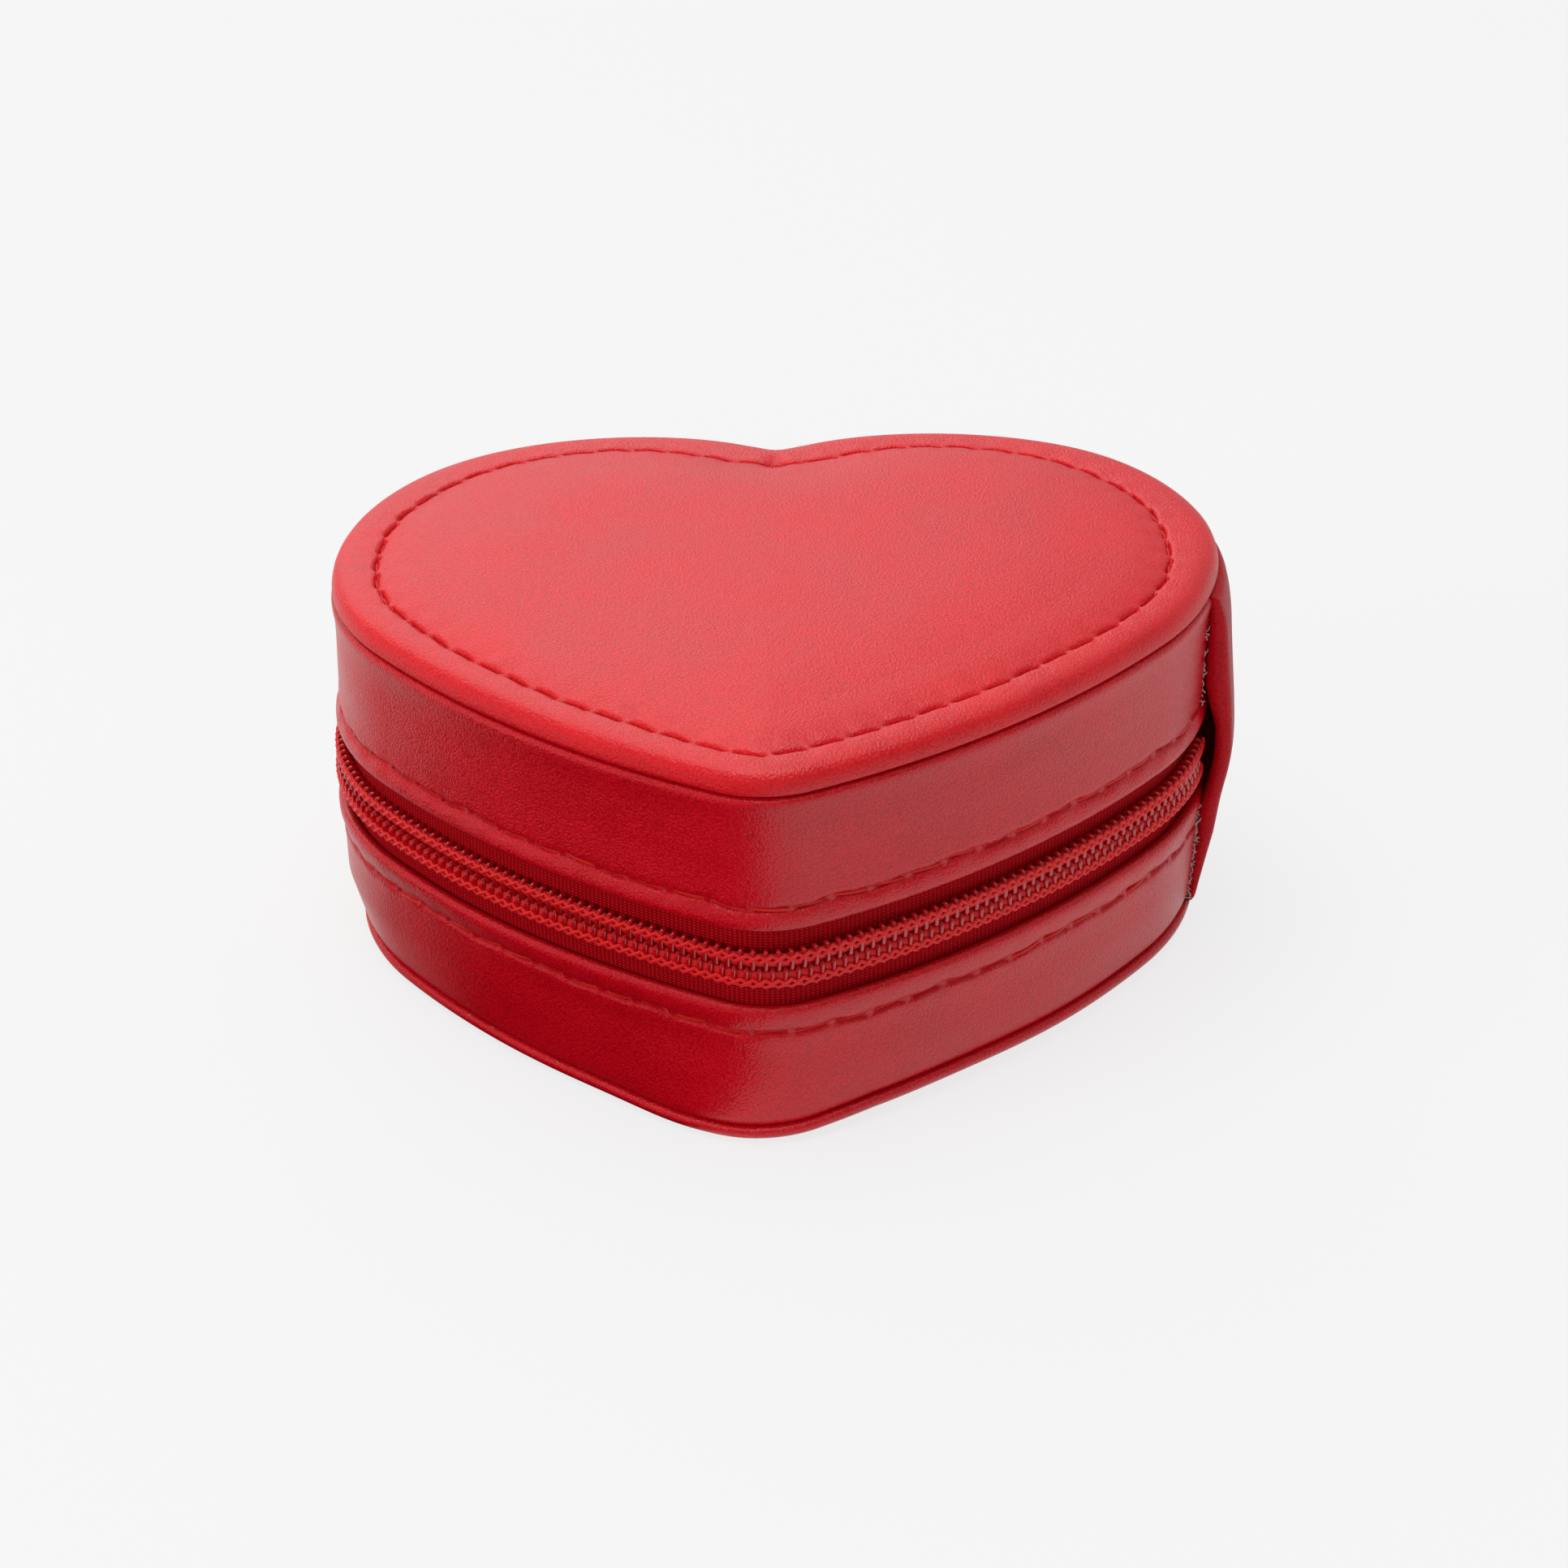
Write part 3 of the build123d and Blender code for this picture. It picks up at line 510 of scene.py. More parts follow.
def stitch_row_tree():
    """Row of single stitches: a bowed thread whose ends dive into the cloth."""
    tree, start, end = seam_tree(
        "stitch_row", "Stitches", "Stitch Length", "Thread Radius", "Bow", "Dive", "Slant", "Wander"
    )
    given = start.outputs
    down = maths(tree, "MULTIPLY", given["Dive"], -1.0)
    first, last = (
        vector(tree, X=maths(tree, "MULTIPLY", given["Stitch Length"], share), Z=down)
        for share in (-0.5, 0.5)
    )
    top = vector(tree, Z=given["Bow"])
    thread = bowed_thread(tree, given["Thread Radius"], first, top, last, 6, 6)
    wander = add(
        tree, "FunctionNodeRandomValue", data_type="FLOAT", Seed=given["Seed"],
        Min=maths(tree, "SUBTRACT", given["Slant"], given["Wander"]),
        Max=maths(tree, "ADD", given["Slant"], given["Wander"]),
    )
    along_seam(tree, start, "Stitches", thread, wander, end)
    return tree


STITCH_ROW = stitch_row_tree()


def seam_line(points, out, whole):
    """Mesh line of a seam, with the direction out of the cloth kept on its points."""
    count = len(points)
    mesh = bpy.data.meshes.new("seam_line")
    links = [(i, (i + 1) % count) for i in range(count if whole else count - 1)]
    mesh.from_pydata(points.tolist(), links, [])
    facing = mesh.attributes.new("out", "FLOAT_VECTOR", "POINT")
    facing.data.foreach_set("vector", np.asarray(out, np.float32).ravel())
    return mesh


def sewn(name, line, tree, values):
    """Runs a tree along a seam line and gives its result as a plain mesh piece."""
    carrier = stand(name + "_line", line)
    modifier = carrier.modifiers.new("tree", "NODES")
    modifier.node_group = tree
    for socket in tree.interface.items_tree:
        if socket.item_type == "SOCKET" and socket.in_out == "INPUT" and socket.name in values:
            modifier[socket.identifier] = values[socket.name]
    carrier.update_tag()
    bpy.context.view_layer.update()
    graph = bpy.context.evaluated_depsgraph_get()
    mesh = bpy.data.meshes.new_from_object(carrier.evaluated_get(graph), depsgraph=graph)
    mesh.name = name
    bpy.data.objects.remove(carrier)
    return stand(name, mesh)


def outwards(walk):
    """Directions out of the wall's face."""
    return np.column_stack([walk.way * walk.side[:, None], np.zeros(len(walk.spots))])


HEM_STITCH = {
    "Stitches": HEM_STITCHES, "Stitch Length": 0.0042, "Thread Radius": 0.00026, "Bow": 0.00026,
    "Dive": 0.00026, "Slant": 0.08, "Wander": 0.05, "Sink": -0.00055, "Seed": 3, "Thread": STITCH_THREAD,
}
base_seam = seam_line(soft_row(ROUND, -0.16, BASE_STITCH_LEVEL + base_drift), outwards(ROUND), True)
base_stitches = sewn("base_hem_stitches", base_seam, STITCH_ROW, HEM_STITCH)
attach(base_stitches, "base")

# Base lining: short red flocked pile over the floor, up the walls and over the top edge of the boards.
# It is one closed skin, glued down, with a soft turn where the wall meets the floor.


def pile_nap():
    """Shared nap of the flocked pile: fine tufts, and patches where the pile was brushed."""
    outputs = {"Tufts": "Float", "Brushed": "Float"}
    group, _, end = new_tree("pile_nap", "ShaderNodeTree", {}, outputs)
    tufts = noise(group, Scale=3600.0, Detail=3.0, Roughness=0.75)
    brushed = noise(group, Scale=70.0, Detail=3.0, Distortion=0.6)
    fill(group, end, Tufts=tufts, Brushed=value_range(group, brushed, 0.0, 1.0, 0.35, 0.65))
    return group


PILE_NAP = pile_nap()


def flocked_pile(name, deep, bright):
    """Flocked pile: matt, with a soft sheen at glancing light."""
    finish, tree, pile = new_finish(name)
    nap = add(tree, "ShaderNodeGroup", node_tree=PILE_NAP).outputs
    shade = maths(tree, "MULTIPLY_ADD", nap["Tufts"], 0.55, value_range(tree, nap["Brushed"], 0.0, 0.45))
    fill(
        tree, pile, Base_Color=mix_colours(tree, shade, deep, bright),
        Roughness=value_range(tree, nap["Tufts"], 0.85, 1.0),
        Normal=add(tree, "ShaderNodeBump", Strength=0.7, Distance=0.0002, Height=nap["Tufts"]),
        Specular_IOR_Level=0.1, Sheen_Weight=0.55, Sheen_Roughness=0.35, Sheen_Tint=(1.0, 0.35, 0.38, 1),
    )
    return finish


LINING_INSET = 8.0
LINING_PILE = flocked_pile("lining_pile", (0.13, 0.002, 0.006), (0.30, 0.006, 0.014))


def lining(name, floor_level, back_level, lip_level, way):
    """Lining from behind the panel, up the wall's back, over its lip and on to the panel's face. The lip
    reaches out to the tape where the soft wall leans outwards."""
    rows = inner_rows(LINING_INSET, PANEL_SHARES, back_level)
    rows += [row(ROUND, -3.56, back_level), row(ROUND, -3.53, back_level + way * 0.3)]
    rows += [row(ROUND, -3.53, lip_level - way * 0.02)]
    out = lean(ROUND.spots, lip_level)
    for grow, rise, follow in (
        (-1.78, -0.02, 1), (-1.72, 0.06, 1), (-1.85, 0.2, 1), (-2.3, 0.3, 0.7), (-3.2, 0.3, 0.2),
        (-3.85, 0.12, 0), (-4.1, -0.3, 0),
    ):
        rows.append(row(ROUND, grow + follow * out, lip_level + way * rise))
    for level in (lip_level - way * 1.2, (lip_level + floor_level) / 2, floor_level + way * 2.2):
        rows.append(row(ROUND, -4.15, level))
    for grow, rise in ((-4.2, 1.0), (-4.45, 0.35), (-5.0, 0.06), (-6.2, 0.0), (-LINING_INSET, 0.0)):
        rows.append(row(ROUND, grow, floor_level + way * rise))
    rows += inner_rows(LINING_INSET, PANEL_SHARES[-2::-1], floor_level)
    return panel(name, rows, LINING_PILE, back_level, floor_level)


base_lining = lining("base_lining_pile", 3.4, 2.82, 17.02, 1)
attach(base_lining, "base")
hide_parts("base_floor_lining", "base_wall_lining")

# Dividers: two pile-covered boards that part the front of the tray, slotted and glued to the floor.
# The solids keep their shape and take the same pile as the lining.
dress(LINING_PILE, "cross_divider", "centre_divider")

# Ring rolls: three wadding rolls in pile across the lobes; rings are pushed into the gaps between them.
# Each is a full D-shaped roll that narrows where its ends are tucked in at the wall.
ROLL_WIDTH, ROLL_FLOOR, ROLL_WAIST = 9.4, 3.4, 6.3
ROLL_BACK, ROLL_PITCH = 27.597, 9.8
ROLL_ENDS = np.array((0.965, 0.985, 0.995, 1.0))
ROLL_STEPS = np.concatenate([-ROLL_ENDS[::-1], np.linspace(-0.93, 0.93, 47), ROLL_ENDS])
ROLL_PILE = flocked_pile("ring_roll_pile", (0.15, 0.003, 0.007), (0.34, 0.008, 0.016))
WALL_FACE = row(ROUND, -4.6, 0.0)[:, :2] / MM


def wall_half_width(y):
    """Half the tray's clear width at a given depth, from the wall's inner face."""
    right = WALL_FACE[(WALL_FACE[:, 0] > 12)]
    order = np.argsort(right[:, 1])
    return np.interp(y, right[order, 1], right[order, 0])


for number in range(3):
    middle = ROLL_BACK - ROLL_PITCH * number
    turn = np.linspace(0, 2 * np.pi, 40, endpoint=False)
    wide = np.sign(np.cos(turn)) * np.abs(np.cos(turn)) ** 0.62
    tall = np.where(np.sin(turn) > 0, np.sin(turn), np.sign(np.sin(turn)) * np.abs(np.sin(turn)) ** 0.35)
    ys = middle + wide * (ROLL_WIDTH / 2 - 0.03)
    zs = ROLL_FLOOR + ROLL_WAIST + tall * np.where(tall > 0, 4.65, 6.25)
    reach = wall_half_width(ys) - 0.1
    rows = []
    for step in ROLL_STEPS:
        tuck = 1.0 - 0.35 * max(0.0, (abs(step) - 0.93) / 0.07) ** 2.5
        ripple = 0.05 * math.sin(step * 23 + number * 2.1) + 0.04 * math.sin(step * 51 + number)
        y = middle + (ys - middle) * tuck
        z = ROLL_FLOOR + (zs - ROLL_FLOOR) * (1 - (1 - tuck) * 0.6) + np.where(tall > 0.2, ripple, 0)
        rows.append(np.column_stack([step * reach, y, z]) * MM)
    end_x = float(wall_half_width(middle)) - 0.1
    roll = skin(
        f"ring_roll_pad_{number + 1}", rows, ROLL_PILE,
        first_pole=(-end_x, middle, ROLL_FLOOR + 5), last_pole=(end_x, middle, ROLL_FLOOR + 5),
    )
    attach(roll, "base")
    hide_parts(f"ring_roll_{number + 1}")

# Zip tapes: two deep-red woven tapes, sewn in under the hems, that carry the coils edge to edge.
# Each is a thin swept strip with its own wrap map, so that the weave runs in columns up the tape.
WARP_PITCH, WEFT_PITCH = 0.00034, 0.00054
TAPE_WEAVE, tree, cloth = new_finish("tape_weave")
yarns = add(tree, "ShaderNodeVectorMath", operation="MULTIPLY")
feed(tree, yarns.inputs[0], add(tree, "ShaderNodeUVMap", uv_map="wrap"))
feed(tree, yarns.inputs[1], (math.tau / WARP_PITCH, math.tau / WEFT_PITCH, 0))
split = add(tree, "ShaderNodeSeparateXYZ", Vector=yarns).outputs
waves = [value_range(tree, maths(tree, "SINE", split[axis]), 0.0, 1.0, -0.6, 1.0) for axis in ("X", "Y")]
knots_and_painted_highlight = maths(tree, "MULTIPLY", *waves)
# The weave's relief is the tape's own; its colour is painted lighter on the yarn crests as a painted
# highlight and darker between them as painted shade.
fill(
    tree, cloth, Base_Color=mix_colours(tree, knots_and_painted_highlight, (0.30, 0.0006, 0.004), (0.70, 0.016, 0.022)),
    Roughness=value_range(tree, knots_and_painted_highlight, 0.75, 0.55), Specular_IOR_Level=0.06,
    Normal=add(tree, "ShaderNodeBump", Strength=0.6, Distance=0.00012, Height=knots_and_painted_highlight),
)


def swept(name, walk, section, finish):
    """Strip or cord of one closed section, carried along the heart and closed at both ends."""
    loops = np.array([soft_row(walk, grow, level) for grow, level in section]).transpose(1, 0, 2)
    return skin(name, loops, finish, first_pole=loops[0].mean(0) / MM, last_pole=loops[-1].mean(0) / MM)


TAPED = walk_heart(720, lobe_spot(42.0), lobe_spot(-10.0), whole=False)
for half, body, seam, edge in (("lower", "base", 9.4, 22.0), ("upper", "lid", 35.0, 22.4)):
    courses = [seam + (edge - seam) * step for step in (0.0, 0.02, 0.25, 0.5, 0.75, 0.98, 1.0)]
    section = [(-1.25 if z in (seam, edge) else -1.05, z) for z in courses]
    section += [(-1.45 if z in (seam, edge) else -1.65, z) for z in courses[::-1]]
    tape = swept(f"tape_{half}", TAPED, section, TAPE_WEAVE)
    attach(tape, body)
    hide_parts(f"zip_tape_{half}")

# Zip coils: a stiff nylon thread wound into flat loops, dyed through, so it is glossy and a little deep.
# The two coils mesh at the middle, half a turn apart, and run from the slider round to the spine.
COIL_NYLON = mottled_finish(
    "coil_nylon", (0.40, 0.001, 0.005), (0.58, 0.004, 0.010), (0.08, 0.16), {"Scale": 900.0, "Detail": 2.0},
    Specular_IOR_Level=0.9, Coat_Weight=0.25, Coat_Roughness=0.08,
)


def coil_tree():
    """Row of flat coil loops: each is a rounded ring across the zip, thick side out of the tape."""
    tree, start, end = seam_tree("coil_loops", "Turns", "Reach", "Depth", "Wire Radius", "Bend", "Lead")
    given = start.outputs
    loop = add(tree, "GeometryNodeCurvePrimitiveQuadrilateral", Width=given["Depth"], Height=given["Reach"])
    rounded = add(tree, "GeometryNodeFilletCurve", mode="POLY", Count=2, Curve=loop, Radius=given["Bend"])
    bent = wire(tree, given["Wire Radius"], rounded, 6, False)
    upright = add(tree, "GeometryNodeTransform", Geometry=bent, Rotation=(0.0, math.pi / 2, 0.0))
    along_seam(tree, start, "Turns", upright, given["Lead"], end)
    return tree


COIL_LOOPS = coil_tree()
ZIP_LEVEL, COIL_PITCH = 22.2, 1.33
COIL_START, COIL_END = lobe_spot(65.06), lobe_spot(-10.0)
COIL_TURNS = int((COIL_END - COIL_START) / COIL_PITCH)
ZIP_HALVES = (("lower", "base", -1, 0.0), ("upper", "lid", 1, COIL_PITCH / 2))


def coil_walk(lag):
    """Stations along a coil, from its first turn to its last."""
    first = COIL_START + lag
    return walk_heart(700, first, first + (COIL_TURNS - 1) * COIL_PITCH, whole=False)


for half, body, way, lag in ZIP_HALVES:
    wound = coil_walk(lag)
    line = seam_line(soft_row(wound, -0.35, ZIP_LEVEL + way * 1.03), outwards(wound), False)
    coil = sewn(f"coil_{half}", line, COIL_LOOPS, {
        "Turns": COIL_TURNS, "Reach": 0.00224, "Depth": 0.00086, "Wire Radius": 0.00029,
        "Bend": 0.00042, "Lead": 0.0, "Sink": 0.0, "Seed": 0, "Thread": COIL_NYLON,
    })
    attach(coil, body)
    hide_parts(f"zip_coil_{half}")

# Core cords and chain stitches: a red cord fills each coil, and bright red thread binds both to the tape.
# The thread makes a lattice of crossing loops, one over every turn of the coil, close to its outer edge.
CHAIN_THREAD = mottled_finish(
    "chain_thread", (0.56, 0.005, 0.009), (0.90, 0.024, 0.024), (0.38, 0.55),
    {"Scale": 6400.0, "Detail": 2.0}, Specular_IOR_Level=0.4,
)


def chain_tree():
    """Lattice of crossing threads along a coil."""
    tree, start, end = seam_tree(
        "chain_lattice", "Crossings", "Crossing Length", "Crossing Width", "Bow", "Thread Radius", "Lean"
    )
    given = start.outputs
    both = add(tree, "GeometryNodeJoinGeometry")
    for side, lift in ((1.0, 1.0), (-1.0, 0.35)):
        first, last = (
            vector(
                tree, X=maths(tree, "MULTIPLY", given["Crossing Length"], reach),
                Y=maths(tree, "MULTIPLY", given["Crossing Width"], reach * side),
            )
            for reach in (-0.5, 0.5)
        )
        top = vector(tree, Z=maths(tree, "MULTIPLY", given["Bow"], lift))
        fill(tree, both, Geometry=bowed_thread(tree, given["Thread Radius"], first, top, last, 4, 5))
    along_seam(tree, start, "Crossings", both, given["Lean"], end)
    return tree


CHAIN_LATTICE = chain_tree()
for half, body, way, lag in ZIP_HALVES:
    wound = coil_walk(lag)
    around = [math.tau * step / 8 for step in range(8)]
    section = [(-0.33 + 0.36 * math.sin(a), ZIP_LEVEL + way * (1.05 + 0.85 * math.cos(a))) for a in around]
    core = swept(f"core_cord_{half}", wound, section, CHAIN_THREAD)
    line = seam_line(soft_row(wound, 0.26, ZIP_LEVEL + way * 1.52), outwards(wound), False)
    chain = sewn(f"chain_stitches_{half}", line, CHAIN_LATTICE, {
        "Crossings": COIL_TURNS, "Crossing Length": 0.00150, "Crossing Width": 0.00090,
        "Bow": 0.00026, "Thread Radius": 0.00025, "Lean": 0.0, "Sink": 0.0, "Seed": 0,
        "Thread": CHAIN_THREAD,
    })
    for piece in (core, chain):
        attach(piece, body)

# Lid side band: leathercloth round the lid, tucked under the rolled rim and hemmed over the zip.
# It is made as the base band is, with its crease and stitches above the rolled hem.
LID_HEM, LID_HEM_DEPTH, LID_STITCH_LEVEL = 27.0, 2.7, 29.7
lid_beat, lid_length = seam_beat(soft_row(ROUND, 0.0, LID_STITCH_LEVEL), HEM_STITCHES)
lid_drift = 0.14 * np.sin(lid_length * 2 * np.pi * 19 + 2.0) + 0.10 * np.sin(lid_length * 2 * np.pi * 37)
band_rows = soft_rows(hem_profile(LID_HEM, 1, LID_HEM_DEPTH, lid_beat, lid_drift))[::-1]
band_rows += soft_rows((
    (0.0, 33.4), (0.02, 35.0), (0.03, 36.5), (0.05, 38.5), (0.12, 40.2), (0.26, 41.4), (0.36, 42.0),
    (0.40, 42.4), (0.37, 42.7), (0.26, 42.95), (0.06, 43.12), (-0.3, 43.2), (-0.98, 43.22),
))
band_rows += soft_rows((-1.0, level) for level in (40.0, 36.0, 32.0, 28.5))
lid_band = skin("lid_band_skin", band_rows, BAND_LEATHER, WRAP, loop=True)
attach(lid_band, "lid")
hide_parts("lid_side_band")
lid_seam = seam_line(soft_row(ROUND, -0.16, LID_STITCH_LEVEL + lid_drift), outwards(ROUND), True)
lid_stitches = sewn("lid_hem_stitches", lid_seam, STITCH_ROW, {**HEM_STITCH, "Seed": 8, "Slant": -0.08})
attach(lid_stitches, "lid")

# Lid lining: the same flocked pile inside the lid, over the ceiling and down the walls to the hem.
# It is the base lining upside down, closed round the lid's wall board.
lid_lining = lining("lid_lining_pile", 41.0, 41.58, 27.38, -1)
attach(lid_lining, "lid")
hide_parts("lid_ceiling_lining", "lid_wall_lining")

# Mirror and its frame: a heart of silvered glass on the lid's ceiling, held by a soft frame in pile.
# The glass keeps its solid; the frame is a padded roll that laps over the edge of the glass.
SILVERED = mottled_finish(
    "silvered_glass", (0.80, 0.83, 0.84), (0.88, 0.90, 0.90), (0.01, 0.05), {"Scale": 60.0, "Detail": 4.0},
    Metallic=1.0,
)
dress(SILVERED, "mirror")
MIRROR_SHARE = 0.72
frame_rows = [row(ROUND, grow, level, MIRROR_SHARE) for grow, level in (
    (3.4, 40.98), (3.42, 40.0), (3.4, 39.4), (3.2, 38.95), (2.7, 38.68), (1.8, 38.55), (0.9, 38.5),
    (0.0, 38.55), (-0.8, 38.7), (-1.35, 38.95), (-1.6, 39.3), (-1.55, 39.52), (-0.8, 39.54),
    (0.22, 39.54), (0.25, 40.3), (0.25, 40.98),
)]
mirror_frame = skin("mirror_frame_roll", frame_rows, ROLL_PILE, WRAP * MIRROR_SHARE, loop=True)
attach(mirror_frame, "lid")
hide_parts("mirror_frame")

# Top panel: one leathercloth skin over foam, rolled over a filler cord at the rim and stitched all round.
# The seam pulls a channel into the pad, with small puckers at the needle holes and a pinch at the notch.
TOP_STITCHES, TOP_STITCH_LEVEL = 60, 45.72
TOP_RIM, TOP_UNDER, TOP_CROWN, CROWN_INSET = 43.4, 43.43, 47.92, 8.2
# The top's cloth is the bands' leathercloth painted lighter: its brighter colours are painted light from
# above.
TOP_LEATHER_PAINTED_LIT = leathercloth("top_leathercloth", (0.54, 0.003, 0.008), (0.84, 0.007, 0.014), roughness=0.40)
behind = np.clip((row(ROUND, 0.0, 0.0)[:, 1] / MM + 12) / 30, 0, 1)
top_inset = -3.9 - 0.8 * behind**2 * (3 - 2 * behind)
top_beat, top_length = seam_beat(row(ROUND, top_inset, 0.0), TOP_STITCHES)
top_drift = 0.10 * np.sin(top_length * 2 * np.pi * 15 + 0.6) + 0.07 * np.sin(top_length * 2 * np.pi * 43)
pinch = np.exp(-(((ROUND.spots - NOTCH_SPOT) / 0.8) ** 2))
rows = inner_rows(PANEL_INSET, PANEL_SHARES, TOP_UNDER)
rim_out = lean(ROUND.spots, TOP_RIM)
for grow, level, hold in (
    (-3.0, 43.3, 0.3), (-1.2, 43.2, 0.8), (-0.8, 43.22, 1), (-0.5, 43.32, 1), (-0.12, 43.44, 1),
    (0.12, 43.58, 1), (0.22, 43.78, 1), (0.22, 44.04, 1), (0.15, 44.4, 1), (0.04, 44.8, 1),
    (-0.12, 45.16, 1), (-0.34, 45.5, 0.95), (-0.64, 45.8, 0.85), (-1.05, 46.03, 0.7),
    (-1.65, 46.18, 0.5), (-2.3, 46.24, 0.3),
):
    rows.append(row(ROUND, grow + hold * rim_out, level))
turn = 2 * np.pi * top_length * TOP_STITCHES
hole = np.exp(-(((1 + np.cos(turn)) / 0.28) ** 2))
slit_line = top_inset + top_drift + 0.1 * (np.sin(turn) - 0.5 * np.sin(2 * turn))
for past, level, open_level, lump in (
    (1.05, 46.26, 46.26, 0.04), (0.7, 46.26, 46.26, 0.05), (0.46, 46.22, 46.25, 0.05),
    (0.3, 46.1, 46.22, 0.03), (0.2, 45.86, 46.18, 0.0), (0.1, 45.52, 46.14, 0.0), (0.0, 45.36, 46.12, 0.0),
    (-0.1, 45.52, 46.14, 0.0), (-0.2, 45.88, 46.18, 0.0), (-0.34, 46.14, 46.24, 0.03),
    (-0.56, 46.3, 46.32, 0.05), (-0.9, 46.42, 46.42, 0.05), (-1.6, 46.6, 46.6, 0.03),
    (-2.7, 46.84, 46.84, 0.01), (-4.1, 47.08, 47.08, 0.0),
):
    dip = pinch * 1.3 * math.exp(-abs(past) / 0.8)
    bent = np.exp(-abs(past) / 1.5) * (slit_line - top_inset)
    height = level + (open_level - level) * hole + lump * (2 * top_beat - 1) - dip
    rows.append(row(ROUND, top_inset + past + bent, height))
crown_rows = inner_rows(CROWN_INSET, np.linspace(0.93, 0.08, 24), 0.0)
outline = row(ROUND, 0.0, 0.0)[::4, :2] / MM
for points in crown_rows:
    depth = np.array([np.hypot(*(outline - spot).T).min() for spot in points[:, :2] / MM])
    points[:, 2] = (TOP_CROWN - 2.0 * np.exp(-(depth - 4.2) / 4.6)) * MM
levels = np.array([points[:, 2] for points in rows[-3:] + crown_rows])
for _ in range(60):
    inside = levels[1:-1]
    spread = (levels[:-2] + levels[2:] + np.roll(inside, 1, 1) + np.roll(inside, -1, 1)) / 4
    levels[3:-1] += 0.5 * (spread - inside)[2:]
    levels[-1] = levels[-1].mean()
for points, level in zip(crown_rows, levels[3:]):
    points[:, 2] = level
rows += crown_rows
top_panel = panel("top_panel_pad", rows, TOP_LEATHER_PAINTED_LIT, TOP_UNDER, float(levels[-1, 0] / MM))
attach(top_panel, "lid")
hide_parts("lid_top_cover", "lid_foam_pad", "lid_rim_cord")
up = np.tile((0.0, 0.0, 1.0), (len(ROUND.spots), 1))
top_seam = seam_line(row(ROUND, slit_line, TOP_STITCH_LEVEL), up, True)
top_stitches = sewn("top_stitches", top_seam, STITCH_ROW, {
    **HEM_STITCH, "Stitches": TOP_STITCHES, "Stitch Length": 0.0040, "Thread Radius": 0.00022,
    "Bow": 0.0003, "Dive": 0.0004, "Slant": 0.05, "Wander": 0.02, "Sink": -0.0001, "Seed": 21,
})
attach(top_stitches, "lid")

# Spine: one thick leathercloth strip up the right lobe, glued to the base and the lid, that hinges the lid.
# It swells out over the zip and has rounded edges.
# The spine's cloth is the bands' leathercloth painted darker: painted shade on the strip at the case's right
# side.
SPINE_LEATHER_PAINTED_SHADE = leathercloth(
    "spine_leathercloth", (0.34, 0.001, 0.006), (0.58, 0.004, 0.014), roughness=0.42, specular=0.12
)
SPINE_FOOT, SPINE_HEAD = 2.75, 43.2
SPINE_FRONT, SPINE_BACK = math.radians(-14) * LOBE_RADIUS, math.radians(46) * LOBE_RADIUS
spine_levels = np.concatenate([
    [SPINE_FOOT, 2.8, 2.95, 3.25, 3.7], np.linspace(4.3, 41.6, 64), [42.2, 42.7, 43.0, 43.15, SPINE_HEAD],
])
spine_out = np.interp(
    spine_levels,
    (2.7, 6, 10, 17.4, 20, 22.2, 24.5, 27, 35, 40, 42, 43.2),
    (0.8, 1.2, 1.7, 2.7, 3.3, 3.65, 3.7, 3.6, 2.7, 2.2, 1.6, 0.6),
)
spine_out = np.convolve(np.pad(spine_out, 3, mode="edge"), np.ones(7) / 7, mode="valid")
loose = np.interp(spine_levels, (12.5, 17.5, 26.5, 32.0), (0.0, 1.0, 1.0, 0.0))
spine_thick = (spine_out - 0.08) * (1 - loose) + 1.95 * loose
bend = np.linspace(-np.pi / 2, np.pi / 2, 9)
rows = []
for level, out, thick in zip(spine_levels, spine_out, spine_thick):
    near_end = min(level - SPINE_FOOT, SPINE_HEAD - level)
    taper = 1.0 if near_end > 0.9 else math.sqrt(max(0.0, 1 - (1 - near_end / 0.9) ** 2))
    half = thick / 2 * (0.35 + 0.65 * taper)
    middle = max(out - thick / 2, thick / 2 + 0.06) - (1 - taper) * 0.25
    arc = np.concatenate([
        np.linspace(SPINE_FRONT + half, SPINE_BACK - half, 46),
        SPINE_BACK - half + half * np.cos(bend[::-1])[1:-1],
        np.linspace(SPINE_BACK - half, SPINE_FRONT + half, 46),
        SPINE_FRONT + half - half * np.cos(bend)[1:-1],
    ])
    rise = np.concatenate([
        np.full(46, middle + half), middle + half * np.sin(bend[::-1])[1:-1],
        np.full(46, middle - half), middle + half * np.sin(bend)[1:-1],
    ])
    turn = arc / LOBE_RADIUS
    reach = LOBE_RADIUS + rise + lean(arc - math.radians(SPINE_CENTRE) * LOBE_RADIUS, level)
    rows.append(np.column_stack([
        LOBE_SPREAD + reach * np.cos(turn), LOBE_Y + reach * np.sin(turn), np.full(len(arc), level),
    ]) * MM)
foot_spot, head_spot = rows[0].mean(0) / MM, rows[-1].mean(0) / MM
spine_wrap = np.append(arc, arc[0]) * MM
spine = skin("spine_strip", rows, SPINE_LEATHER_PAINTED_SHADE, spine_wrap, first_pole=foot_spot, last_pole=head_spot)
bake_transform(spine)
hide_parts("spine_leaf_base", "spine_leaf_lid")

